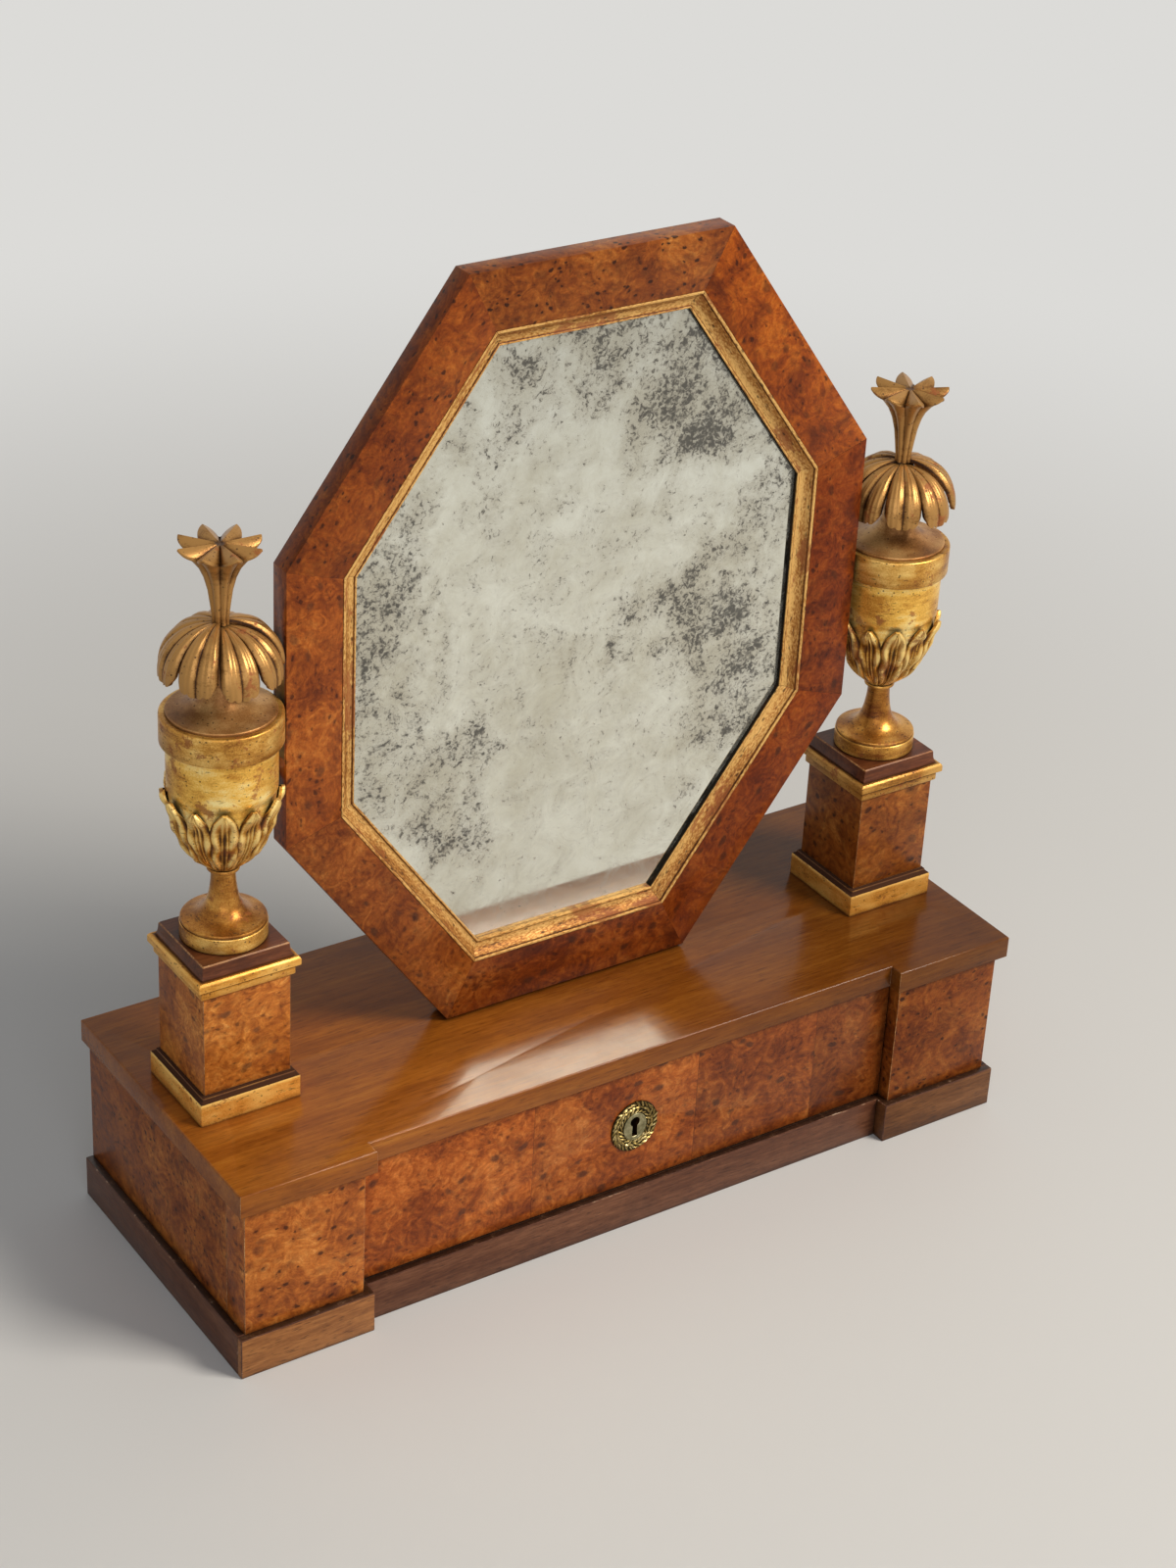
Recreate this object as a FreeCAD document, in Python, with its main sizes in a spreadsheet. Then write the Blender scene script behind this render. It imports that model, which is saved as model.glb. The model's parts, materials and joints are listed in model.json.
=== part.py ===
"""Toilet mirror: an octagonal swing glass between two gilt urns, on a box with one drawer.

Millimetres, +Z up, the front faces -Y. The origin is the middle of the footprint, on the table.
The driving sizes are in the sheet "dims". Everything else is tied to them by expressions.
"""
import FreeCAD, Part
import math
import os
import re

import Sketcher

doc = FreeCAD.newDocument("TableMirror")
sheet = doc.addObject("Spreadsheet::Sheet", "dims")

# Driving sizes, one group for each part of the object
box_sizes = {
    "top_depth": 205,
    "top_thickness": 15,
    "top_overhang": 5,
    "arris_radius": 1.2,
    "carcase_height": 116,
    "plinth_height": 28,
    "recess_depth": 9.5,
    "block_width": 79,
    "block_thickness": 22,
    "side_thickness": 12,
    "partition_thickness": 10,
    "back_thickness": 8,
    "floor_thickness": 10,
    "rail_thickness": 18,
    "runner_width": 12,
    "runner_height": 4,
    "stop_width": 24,
    "stop_thickness": 6,
    "stop_height": 20,
}
drawer_sizes = {
    "drawer_gap": 0.8,
    "slide_gap": 0.3,
    "drawer_front_thickness": 18,
    "drawer_side_thickness": 8,
    "drawer_back_thickness": 8,
    "drawer_bottom_thickness": 5,
    "drawer_bottom_rise": 5,
    "drawer_side_drop": 4,
    "groove_depth": 4,
    "tail_length": 12,
}
lock_sizes = {
    "lock_width": 50,
    "lock_depth": 9,
    "lock_wall": 1.7,
    "lock_below_key": 17,
    "bolt_width": 16,
    "bolt_throw": 6,
    "bolt_gap": 0.3,
    "key_sweep_radius": 10,
    "key_bite": 1.5,
    "keyhole_radius": 3.4,
    "keyhole_slot_width": 3.6,
    "keyhole_height": 14,
    "lock_screw_inset": 6,
    "lock_screw_diameter": 3,
    "lock_screw_length": 14,
    "escutcheon_width": 34,
    "escutcheon_height": 36,
    "escutcheon_thickness": 2.2,
    "escutcheon_scallop": 1.6,
}
mirror_sizes = {
    "frame_width": 398,
    "frame_height": 480,
    "frame_top_edge": 175,
    "frame_side_edge": 175,
    "frame_thickness": 15,
    "rail_width": 35.5,
    "rebate_width": 6,
    "slip_width": 11.5,
    "slip_depth": 8,
    "slip_drop": 6.3,
    "slip_fillet": 1.6,
    "glass_thickness": 2.5,
    "glass_gap": 0.4,
    "backboard_thickness": 3,
    "sprig_width": 1.3,
    "sprig_reach": 6,
    "sprig_hold": 8,
    "mirror_gap": 1.5,
}
pivot_sizes = {
    "side_gap": 1.5,
    "pin_diameter": 6,
    "pin_clearance": 0.05,
    "bush_diameter": 10,
    "bush_length": 14,
    "bush_setback": 0.6,
    "plate_length": 60,
    "plate_width": 10,
    "plate_thickness": 2.5,
    "plate_screw_inset": 9,
    "plate_screw_diameter": 3,
    "plate_screw_length": 16,
}
pedestal_sizes = {
    "pedestal_foot_width": 65,
    "pedestal_foot_height": 18,
    "pedestal_foot_bevel": 2.5,
    "die_width": 56.3,
    "cap_width": 65.7,
    "cap_height": 12.5,
    "cap_bed_width": 60.5,
    "cap_bed_height": 6.3,
    "cap_bevel": 1,
    "abacus_base_width": 58.5,
    "abacus_width": 55.6,
    "abacus_height": 8.7,
    "pedestal_screw_diameter": 5,
    "pedestal_screw_length": 55,
}
urn_sizes = {
    "urn_pivot_rise": 135.5,
    "foot_radius": 25.5,
    "foot_height": 12,
    "foot_shoulder": 3.2,
    "stem_radius": 7,
    "stem_height": 33.6,
    "collar_radius": 9.2,
    "collar_height": 1.6,
    "tenon_radius": 4,
    "tenon_length": 12,
    "spigot_radius": 6,
    "spigot_length": 14,
    "bowl_radius": 31.5,
    "rim_radius": 35,
    "rim_height": 18,
    "cup_height": 51,
    "cup_leaf_flare": 1.9,
    "cup_leaf_rib": 1.6,
    "cup_leaf_edge": 0.6,
    "cup_leaf_root": 1,
    "lid_radius": 30,
    "lid_step": 2.4,
    "lid_rise": 16,
    "lid_spigot_length": 5,
    "lid_spigot_radius": 20,
    "neck_radius": 8.2,
    "neck_height": 16,
    "crown_height": 22,
    "crown_setback": 1.4,
    "crown_drop": 29,
    "crown_root_radius": 6.2,
    "crown_spring_radius": 3.7,
    "crown_leaf_thickness": 2.6,
    "finial_root_radius": 5.2,
    "finial_waist_radius": 7.2,
    "finial_mouth_radius": 12,
    "finial_flute": 0.9,
    "finial_stem_height": 35.5,
    "finial_height": 48.5,
    "star_radius": 24.4,
    "star_notch_radius": 17.5,
    "star_groove_depth": 3.2,
    "star_edge": 2,
}

# Counts of what is carved or set out in equal steps
crown_leaf_count = 8
cup_leaf_count = 12
star_petal_count = 8
escutcheon_lobe_count = 14
tail_count = 3

# The carved crown and star of each urn are turned a little differently on their dowels
crown_turn = {"left": 38.0, "right": 11.3}
star_turn = {"left": 40.2, "right": 18.2}

sizes = {}
for group in (box_sizes, drawer_sizes, lock_sizes, mirror_sizes, pivot_sizes, pedestal_sizes, urn_sizes):
    sizes.update(group)
for row, (name, number) in enumerate(sizes.items(), start=1):
    sheet.set(f"A{row}", name)
    sheet.set(f"B{row}", str(number))
    sheet.setAlias(f"B{row}", name)
doc.recompute()

# Places and sizes that follow from the driving ones
places = {
    "urn_axis_x": "frame_width / 2 + side_gap + rim_radius",
    "top_half": "urn_axis_x + block_width / 2 + top_overhang",
    "carcase_half": "top_half - top_overhang",
    "opening_half": "carcase_half - block_width",
    "top_front": "-top_depth / 2",
    "top_back": "top_depth / 2",
    "block_front": "top_front + top_overhang",
    "block_back": "block_front + block_thickness",
    "centre_front": "block_front + recess_depth",
    "carcase_back": "top_back - back_thickness",
    "base_height": "carcase_height + top_thickness",
    "floor_top": "plinth_height - runner_height",
    "drawer_half": "opening_half - drawer_gap",
    "drawer_front_back": "centre_front + drawer_front_thickness",
    "drawer_end": "carcase_back - stop_thickness - slide_gap",
    "drawer_low": "plinth_height + drawer_gap",
    "drawer_top": "carcase_height - drawer_gap",
    "drawer_side_low": "plinth_height + slide_gap",
    "drawer_side_top": "drawer_top - drawer_side_drop",
    "drawer_bottom_low": "drawer_side_low + drawer_bottom_rise",
    "drawer_bottom_top": "drawer_bottom_low + drawer_bottom_thickness",
    "keyhole_z": "(drawer_low + drawer_top) / 2",
    "lock_front": "drawer_front_back - lock_depth",
    "lock_low": "keyhole_z - lock_below_key",
    "bolt_thickness": "lock_depth - 2 * lock_wall - 2 * bolt_gap",
    "bolt_low": "keyhole_z + key_sweep_radius - key_bite",
    "pivot_height": "base_height + mirror_gap + frame_height / 2",
    "frame_front": "-frame_thickness / 2",
    "glass_inset": "rail_width - rebate_width + glass_gap",
    "glass_front": "frame_front + slip_depth",
    "glass_back": "glass_front + glass_thickness",
    "backboard_back": "glass_back + backboard_thickness",
    "corner_run": "frame_width / 2 - frame_top_edge / 2",
    "corner_fall": "frame_height / 2 - frame_side_edge / 2",
    "slope_angle": "atan2(corner_fall; corner_run)",
    "slope_length": "sqrt(pow(corner_run; 2) + pow(corner_fall; 2))",
    "top_mitre": "tan(slope_angle / 2)",
    "side_mitre": "tan((90 deg - slope_angle) / 2)",
    "urn_base": "pivot_height - urn_pivot_rise",
    "die_base": "base_height + pedestal_foot_height",
    "abacus_base": "urn_base - abacus_height",
    "cap_base": "abacus_base - cap_height",
    "die_height": "cap_base - die_base",
    "bowl_base": "foot_height + stem_height",
    "rim_low": "urn_pivot_rise - rim_height / 2",
    "rim_top": "urn_pivot_rise + rim_height / 2",
    "lid_top": "rim_top + lid_rise",
    "crown_base": "lid_top + neck_height",
    "crown_top": "crown_base + crown_height",
    "cup_top": "bowl_base + cup_height",
    "bush_inner": "rim_radius - bush_setback - bush_length",
}


def bound(text):
    """Write a plain formula as an expression on the sheet's cells."""
    def swap(match):
        word = match.group()
        if word in places:
            return "(" + bound(places[word]) + ")"
        if word in sizes:
            return "dims." + word
        return word
    return re.sub(r"[a-z_][a-z_0-9]*", swap, str(text))


def value(text):
    """The present number of a formula, in millimetres or degrees."""
    result = sheet.evalExpression(bound(text))
    return float(getattr(result, "Value", result))


def bind(thing, formulas):
    for name, text in formulas.items():
        thing.setExpression(name, bound(text))


pieces = {}


def keep(label, thing):
    """Give a finished sub-part its name."""
    thing.Label = label
    pieces[label] = thing
    return thing


def block(name, x, y, z, length, width, height):
    box = doc.addObject("Part::Box", name)
    bind(box, {
        "Length": length, "Width": width, "Height": height,
        "Placement.Base.x": x, "Placement.Base.y": y, "Placement.Base.z": z,
    })
    return box


turn_to_axis = {
    "+x": FreeCAD.Rotation(FreeCAD.Vector(0, 1, 0), 90),
    "-x": FreeCAD.Rotation(FreeCAD.Vector(0, 1, 0), -90),
    "+y": FreeCAD.Rotation(FreeCAD.Vector(1, 0, 0), -90),
    "-y": FreeCAD.Rotation(FreeCAD.Vector(1, 0, 0), 90),
    "+z": FreeCAD.Rotation(),
}


def rod(name, radius, length, x, y, z, axis):
    """A cylinder that starts at a point and runs along an axis."""
    cylinder = doc.addObject("Part::Cylinder", name)
    cylinder.Placement = FreeCAD.Placement(FreeCAD.Vector(), turn_to_axis[axis])
    bind(cylinder, {
        "Radius": radius, "Height": length,
        "Placement.Base.x": x, "Placement.Base.y": y, "Placement.Base.z": z,
    })
    return cylinder


def wood_screw(name, diameter, length, x, y, z, axis):
    """A countersunk screw whose head is flush at the given point and whose shank runs along the axis."""
    shank = rod(name + "_shank", f"({diameter}) / 2", length, x, y, z, axis)
    head = doc.addObject("Part::Cone", name + "_head")
    head.Placement = FreeCAD.Placement(FreeCAD.Vector(), turn_to_axis[axis])
    bind(head, {
        "Radius1": diameter, "Radius2": f"({diameter}) / 2", "Height": f"({diameter}) / 2",
        "Placement.Base.x": x, "Placement.Base.y": y, "Placement.Base.z": z,
    })
    return joined(name, shank, head)


def with_screws(name, plate, screws):
    """A plate and the screws that hold it, driven flush with its face."""
    for number, screw in enumerate(screws):
        plate = joined(f"{name}_screwed{number}", plate, screw)
    return plate


def together(name, members):
    """Separate solids that share one node."""
    group = doc.addObject("Part::Compound", name)
    group.Links = members
    return group


def joined(name, base, tool):
    fuse = doc.addObject("Part::Fuse", name)
    fuse.Base = base
    fuse.Tool = tool
    return fuse


def carved(name, base, *tools):
    """The base piece with the seats of other pieces cut into it."""
    for number, tool in enumerate(tools):
        cut = doc.addObject("Part::Cut", f"{name}_cut{number}")
        cut.Base = base
        cut.Tool = tool
        base = cut
    return base


def origin_plane(body, role):
    return [plane for plane in body.Origin.OriginFeatures if plane.Role == role][0]


def sketch_outline(body, role, outline, name, offset="0"):
    """A closed sketch through points (x, y), each held by its two distances from the origin."""
    sketch = body.newObject("Sketcher::SketchObject", name)
    sketch.AttachmentSupport = [(origin_plane(body, role), "")]
    sketch.MapMode = "FlatFace"
    bind(sketch, {"AttachmentOffset.Base.z": offset})
    corners = [FreeCAD.Vector(value(x), value(y), 0) for x, y in outline]
    count = len(outline)
    start_point, end_point = 1, 2
    for index in range(count):
        sketch.addGeometry(Part.LineSegment(corners[index], corners[(index + 1) % count]))
    for index in range(count):
        following = (index + 1) % count
        sketch.addConstraint(Sketcher.Constraint("Coincident", index, end_point, following, start_point))
        for axis, text, reading in (("DistanceX", outline[index][0], corners[index].x),
                                    ("DistanceY", outline[index][1], corners[index].y)):
            number = sketch.addConstraint(Sketcher.Constraint(axis, -1, 1, index, start_point, reading))
            sketch.setExpression(f"Constraints[{number}]", bound(text))
    return sketch


def new_body(name, x="0", y="0", z="0", axis=None, angle="0"):
    body = doc.addObject("PartDesign::Body", name)
    if axis:
        body.Placement = FreeCAD.Placement(FreeCAD.Vector(), FreeCAD.Rotation(axis, 1))
        bind(body, {"Placement.Rotation.Angle": angle})
    bind(body, {"Placement.Base.x": x, "Placement.Base.y": y, "Placement.Base.z": z})
    return body


def add_pad(body, sketch, length, name, reverse=False):
    pad = body.newObject("PartDesign::Pad", name)
    pad.Profile = sketch
    pad.Reversed = reverse
    bind(pad, {"Length": length})
    return pad


def add_pocket(body, sketch, depth, name, reverse=False):
    pocket = body.newObject("PartDesign::Pocket", name)
    pocket.Profile = sketch
    pocket.Reversed = reverse
    bind(pocket, {"Length": depth})
    return pocket


def turned(name, profile, x, z):
    """A lathe piece: a profile of (radius, height) points about its own vertical axis."""
    body = new_body(name, x=x, z=z)
    sketch = sketch_outline(body, "XZ_Plane", profile, name + "_profile")
    lathe = body.newObject("PartDesign::Revolution", name + "_turning")
    lathe.Profile = sketch
    lathe.ReferenceAxis = (sketch, ["V_Axis"])
    lathe.Angle = 360
    return body


def square_outline(width):
    half = f"({width}) / 2"
    return [(f"-({half})", f"-({half})"), (half, f"-({half})"), (half, half), (f"-({half})", half)]


def edges_at_height(feature, height):
    """The names of a solid's level edges at one height."""
    found = []
    for number, edge in enumerate(feature.Shape.Edges, start=1):
        if all(abs(vertex.Z - height) < 1e-6 for vertex in edge.Vertexes):
            found.append(f"Edge{number}")
    return found


def ease_top_edges(body, feature, height, radius, name, kind="Fillet"):
    """Round or bevel the arris round the upper face."""
    doc.recompute()
    eased = body.newObject("PartDesign::" + kind, name)
    eased.Base = (feature, edges_at_height(feature, value(height)))
    bind(eased, {"Radius" if kind == "Fillet" else "Size": radius})
    return eased


def beside(side, near, width):
    """Where a piece on one side starts along X, from its inner face and its width."""
    return near if side == "right" else f"-({near}) - ({width})"


def mirrored(side, x):
    return x if side == "right" else f"-({x})"


both_sides = ("left", "right")


# Box: the carcase, the applied plinth and the polished top board
def make_top():
    inner = "top_half - block_width - 2 * top_overhang"
    recess = "top_front + recess_depth"
    outline = [
        ("-top_half", "top_back"), ("-top_half", "top_front"),
        (f"-({inner})", "top_front"), (f"-({inner})", recess),
        (inner, recess), (inner, "top_front"),
        ("top_half", "top_front"), ("top_half", "top_back"),
    ]
    body = new_body("top_board", z="carcase_height")
    board = add_pad(body, sketch_outline(body, "XY_Plane", outline, "top_outline"),
                    "top_thickness", "top_pad")
    board = ease_top_edges(body, board, "top_thickness", "arris_radius", "top_arris")
    half_slot = "bolt_width / 2 + bolt_gap"
    slot_front = "lock_front + lock_wall"
    slot_back = "lock_front + lock_depth - lock_wall"
    slot = [(f"-({half_slot})", slot_front), (half_slot, slot_front),
            (half_slot, slot_back), (f"-({half_slot})", slot_back)]
    add_pocket(body, sketch_outline(body, "XY_Plane", slot, "bolt_mortise_outline"),
               "bolt_throw + bolt_gap", "bolt_mortise", reverse=True)
    return body


def make_plinth():
    """Strips planted round the foot of the carcase, on the same outline as the top."""
    inner = "opening_half - top_overhang"
    for side in both_sides:
        outline = [
            (inner, "top_front"), ("top_half", "top_front"), ("top_half", "block_front"),
            ("opening_half", "block_front"), ("opening_half", "centre_front"), (inner, "centre_front"),
        ]
        if side == "left":
            outline = [(f"-({x})", y) for x, y in outline]
        name = f"plinth_block_{side}"
        body = new_body(name)
        sketch = sketch_outline(body, "XY_Plane", outline, name + "_outline")
        add_pad(body, sketch, "plinth_height", name + "_pad")
        keep(name, body)
        strip = block(f"plinth_side_{side}", beside(side, "carcase_half", "top_overhang"), "block_front", "0",
                      "top_overhang", "top_back - block_front", "plinth_height")
        keep(f"plinth_side_{side}", strip)
    centre = block("plinth_centre", f"-({inner})", "centre_front - top_overhang", "0",
                   f"2 * ({inner})", "top_overhang", "plinth_height")
    keep("plinth_centre", centre)


def make_carcase():
    for side in both_sides:
        keep(f"end_block_{side}", block(
            f"end_block_{side}", beside(side, "opening_half", "block_width"), "block_front", "0",
            "block_width", "block_thickness", "carcase_height"))
        keep(f"carcase_side_{side}", block(
            f"carcase_side_{side}", beside(side, "carcase_half - side_thickness", "side_thickness"),
            "block_back", "0", "side_thickness", "top_back - block_back", "carcase_height"))
        keep(f"drawer_partition_{side}", block(
            f"drawer_partition_{side}", beside(side, "opening_half", "partition_thickness"),
            "block_back", "0", "partition_thickness", "carcase_back - block_back", "carcase_height"))
    keep("carcase_back", block(
        "carcase_back", "-(carcase_half - side_thickness)", "carcase_back", "0",
        "2 * (carcase_half - side_thickness)", "back_thickness", "carcase_height"))
    keep("front_rail", block(
        "front_rail", "-opening_half", "centre_front", "0",
        "2 * opening_half", "rail_thickness", "plinth_height"))
    keep("drawer_floor", block(
        "drawer_floor", "-opening_half", "centre_front + rail_thickness", "floor_top - floor_thickness",
        "2 * opening_half", "carcase_back - centre_front - rail_thickness", "floor_thickness"))
    runners = [block(
        f"runner_{side}", beside(side, "opening_half - runner_width", "runner_width"),
        "centre_front + rail_thickness", "floor_top",
        "runner_width", "carcase_back - centre_front - rail_thickness", "runner_height")
        for side in both_sides]
    keep("drawer_runners", together("drawer_runners", runners))
    stops = [block(
        f"stop_{side}", beside(side, "opening_half - runner_width - stop_width", "stop_width"),
        "carcase_back - stop_thickness", "floor_top", "stop_width", "stop_thickness",
        "runner_height + stop_height") for side in both_sides]
    keep("drawer_stops", together("drawer_stops", stops))


# Drawer: dovetailed box, half-mortise lock and keyhole plate
def drawer_side_outline():
    """Back end, bottom edge, tails for the front, top edge; along Y and up Z."""
    height = "(drawer_side_top - drawer_side_low)"
    outline = [("drawer_end", "drawer_side_low"), ("drawer_front_back", "drawer_side_low")]
    root_share = 0.28
    tip_share = 0.36
    for tail in range(tail_count):
        middle = f"drawer_side_low + {height} * {(tail + 0.5) / tail_count}"
        root = f"{height} * {root_share / tail_count}"
        tip = f"{height} * {tip_share / tail_count}"
        outline += [
            ("drawer_front_back", f"{middle} - {root}"),
            ("drawer_front_back - tail_length", f"{middle} - {tip}"),
            ("drawer_front_back - tail_length", f"{middle} + {tip}"),
            ("drawer_front_back", f"{middle} + {root}"),
        ]
    return outline + [("drawer_front_back", "drawer_side_top"), ("drawer_end", "drawer_side_top")]


def make_keyhole():
    """The pear-shaped way for the key, from the plate through the front into the lock."""
    start = "centre_front - 2 * escutcheon_thickness"
    length = "lock_front + lock_wall + bolt_gap - centre_front + 2 * escutcheon_thickness"
    eye_z = "keyhole_z + keyhole_height / 2 - keyhole_radius"
    eye = rod("keyhole_eye", "keyhole_radius", length, "0", start, eye_z, "+y")
    slot = block("keyhole_slot", "-keyhole_slot_width / 2", start, "keyhole_z - keyhole_height / 2",
                 "keyhole_slot_width", length, "keyhole_height - keyhole_radius")
    return joined("keyhole", eye, slot)


def make_lock(keyhole):
    case_blank = block("lock_case_blank", "-lock_width / 2", "lock_front", "lock_low",
                       "lock_width", "lock_depth", "drawer_top - lock_low")
    channel = block("bolt_channel",
                    "-bolt_width / 2 - bolt_gap", "lock_front + lock_wall", "bolt_low - bolt_gap",
                    "bolt_width + 2 * bolt_gap", "bolt_thickness + 2 * bolt_gap",
                    "drawer_top - bolt_low + bolt_throw")
    sweep = rod("key_sweep", "key_sweep_radius", "bolt_thickness + 2 * bolt_gap",
                "0", "lock_front + lock_wall", "keyhole_z", "+y")
    screws = []
    for column in both_sides:
        for row, z in (("low", "lock_low + lock_screw_inset"), ("high", "drawer_top - lock_screw_inset")):
            screws.append(rod(
                f"lock_screw_{column}_{row}", "lock_screw_diameter / 2", "lock_screw_length",
                mirrored(column, "lock_width / 2 - lock_screw_inset"), "drawer_front_back", z, "-y"))
    case = carved("lock_case_hollow", case_blank, joined("lock_inside", channel, sweep), keyhole)
    case = with_screws("lock_case", case, screws)
    keep("lock_case", case)
    bolt = block("bolt_blank", "-bolt_width / 2", "lock_front + lock_wall + bolt_gap", "bolt_low",
                 "bolt_width", "bolt_thickness", "drawer_top - bolt_gap - bolt_low")
    talon = rod("bolt_talon", "bolt_width / 4", "lock_depth", "0", "lock_front", "bolt_low", "+y")
    keep("lock_bolt", carved("lock_bolt", bolt, talon))
    return case_blank, screws


def make_escutcheon(keyhole):
    """An oval plate whose wreath of leaves gives it a scalloped edge."""
    outline = []
    for point in range(2 * escutcheon_lobe_count):
        angle = math.pi * point / escutcheon_lobe_count
        inset = "escutcheon_scallop" if point % 2 else "0"
        outline.append((f"(escutcheon_width / 2 - {inset}) * {math.cos(angle)}",
                        f"keyhole_z + (escutcheon_height / 2 - {inset}) * {math.sin(angle)}"))
    body = new_body("escutcheon_plate")
    sketch = sketch_outline(body, "XZ_Plane", outline, "escutcheon_outline", "-centre_front")
    add_pad(body, sketch, "escutcheon_thickness", "escutcheon_pad")
    keep("escutcheon", carved("escutcheon", body, keyhole))


def make_drawer():
    keyhole = make_keyhole()
    lock_blank, lock_screws = make_lock(keyhole)
    make_escutcheon(keyhole)
    half_bottom = "(drawer_half - drawer_side_thickness + groove_depth)"
    bottom = keep("drawer_bottom", block(
        "drawer_bottom", f"-{half_bottom}", "drawer_front_back - groove_depth",
        "drawer_bottom_low", f"2 * {half_bottom}",
        "drawer_end - drawer_front_back + groove_depth", "drawer_bottom_thickness"))
    drawer_sides = []
    for side in both_sides:
        name = f"drawer_side_{side}"
        body = new_body(name + "_board", x=beside(side, "drawer_half - drawer_side_thickness",
                                                  "drawer_side_thickness"))
        sketch = sketch_outline(body, "YZ_Plane", drawer_side_outline(), name + "_outline")
        add_pad(body, sketch, "drawer_side_thickness", name + "_pad")
        drawer_sides.append(body)
        keep(name, carved(name, body, bottom))
    keep("drawer_back", block(
        "drawer_back", "-(drawer_half - drawer_side_thickness)", "drawer_end - drawer_back_thickness",
        "drawer_bottom_top", "2 * (drawer_half - drawer_side_thickness)", "drawer_back_thickness",
        "drawer_side_top - drawer_bottom_top"))
    front = block("drawer_front_blank", "-drawer_half", "centre_front", "drawer_low",
                  "2 * drawer_half", "drawer_front_thickness", "drawer_top - drawer_low")
    seats = [*drawer_sides, bottom, lock_blank, *lock_screws, keyhole]
    keep("drawer_front", carved("drawer_front", front, *seats))


# Pedestals: gilt foot, burr die, stepped gilt cap and abacus
def make_pedestal(side, screw):
    x = mirrored(side, "urn_axis_x")
    spigot = rod(f"spigot_hole_{side}", "spigot_radius", "spigot_length",
                 x, "0", "urn_base - spigot_length", "+z")

    body = new_body(f"pedestal_foot_{side}_body", x=x, z="base_height")
    square = sketch_outline(body, "XY_Plane", square_outline("pedestal_foot_width"), f"foot_square_{side}")
    pad = add_pad(body, square, "pedestal_foot_height", f"foot_pad_{side}")
    ease_top_edges(body, pad, "pedestal_foot_height", "pedestal_foot_bevel", f"foot_bevel_{side}", "Chamfer")
    keep(f"pedestal_foot_{side}", carved(f"pedestal_foot_{side}", body, screw))

    die = block(f"pedestal_die_{side}_blank", f"({x}) - die_width / 2", "-die_width / 2", "die_base",
                "die_width", "die_width", "die_height")
    keep(f"pedestal_die_{side}", carved(f"pedestal_die_{side}", die, screw, spigot))

    body = new_body(f"pedestal_cap_{side}_body", x=x, z="cap_base")
    square = sketch_outline(body, "XY_Plane", square_outline("cap_bed_width"), f"cap_bed_square_{side}")
    add_pad(body, square, "cap_height", f"cap_bed_{side}")
    square = sketch_outline(body, "XY_Plane", square_outline("cap_width"), f"cap_square_{side}",
                            "cap_bed_height")
    pad = add_pad(body, square, "cap_height - cap_bed_height", f"cap_pad_{side}")
    ease_top_edges(body, pad, "cap_height", "cap_bevel", f"cap_bevel_{side}", "Chamfer")
    keep(f"pedestal_cap_{side}", carved(f"pedestal_cap_{side}", body, spigot))

    body = new_body(f"abacus_{side}_body", x=x, z="abacus_base")
    square = sketch_outline(body, "XY_Plane", square_outline("abacus_base_width"), f"abacus_square_{side}")
    pad = add_pad(body, square, "abacus_height", f"abacus_pad_{side}")
    bind(pad, {"TaperAngle": "-atan((abacus_base_width - abacus_width) / 2 / abacus_height)"})
    keep(f"abacus_{side}", carved(f"abacus_{side}", body, spigot))


def make_pedestals(top_board):
    screws = {side: wood_screw(
        f"pedestal_screw_{side}", "pedestal_screw_diameter", "pedestal_screw_length",
        mirrored(side, "urn_axis_x"), "0", "carcase_height", "+z") for side in both_sides}
    for side in both_sides:
        make_pedestal(side, screws[side])
    group = keep("pedestal_screws", together("pedestal_screws", list(screws.values())))
    keep("base_top", carved("base_top", top_board, group))


# Urns: turned foot, bowl and lid, with carved leaf cup, palm crown and star finial
# How far a turned curve stands off its chord, as twice its rise over the chord; a hollow is negative
foot_bulge = -0.42
cup_bulge = 0.2
lid_bulge = -0.38


def hollow(start, end, bulge, steps):
    """Profile points along a shallow curve that bulges to the right of its chord, the end included."""
    points = []
    for step in range(1, steps + 1):
        share = step / steps
        lift = 2 * bulge * share * (1 - share)
        run = f"(({end[0]}) - ({start[0]}))"
        rise = f"(({end[1]}) - ({start[1]}))"
        points.append((f"({start[0]}) + {run} * {share} + {rise} * {lift}",
                       f"({start[1]}) + {rise} * {share} - {run} * {lift}"))
    return points


def foot_profile():
    """Spigot, flat band, hollow sweep up to the stem, collar and tenon."""
    sweep_low = ("foot_radius - foot_shoulder", "foot_height")
    sweep_high = ("stem_radius", "bowl_base - collar_height")
    return [
        ("0", "-spigot_length"), ("spigot_radius", "-spigot_length"), ("spigot_radius", "0"),
        ("foot_radius", "0"), ("foot_radius", "foot_height"),
        sweep_low, *hollow(sweep_low, sweep_high, foot_bulge, 3),
        ("collar_radius", "bowl_base - collar_height"), ("collar_radius", "bowl_base"),
        ("tenon_radius", "bowl_base"), ("tenon_radius", "bowl_base + tenon_length"),
        ("0", "bowl_base + tenon_length"),
    ]


cup_low = ("collar_radius", "bowl_base")
cup_high = ("bowl_radius", "cup_top")


def bowl_profile():
    """The bowl above the leaf cup: its wall, the broad rim and the seat of the lid."""
    start = hollow(cup_low, cup_high, cup_bulge, 5)[2]
    return [
        ("0", start[1]), start, cup_high, ("bowl_radius", "rim_low"),
        ("rim_radius", "rim_low"), ("rim_radius", "rim_top"),
        ("lid_spigot_radius", "rim_top"), ("lid_spigot_radius", "rim_top - lid_spigot_length"),
        ("0", "rim_top - lid_spigot_length"),
    ]


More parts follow.
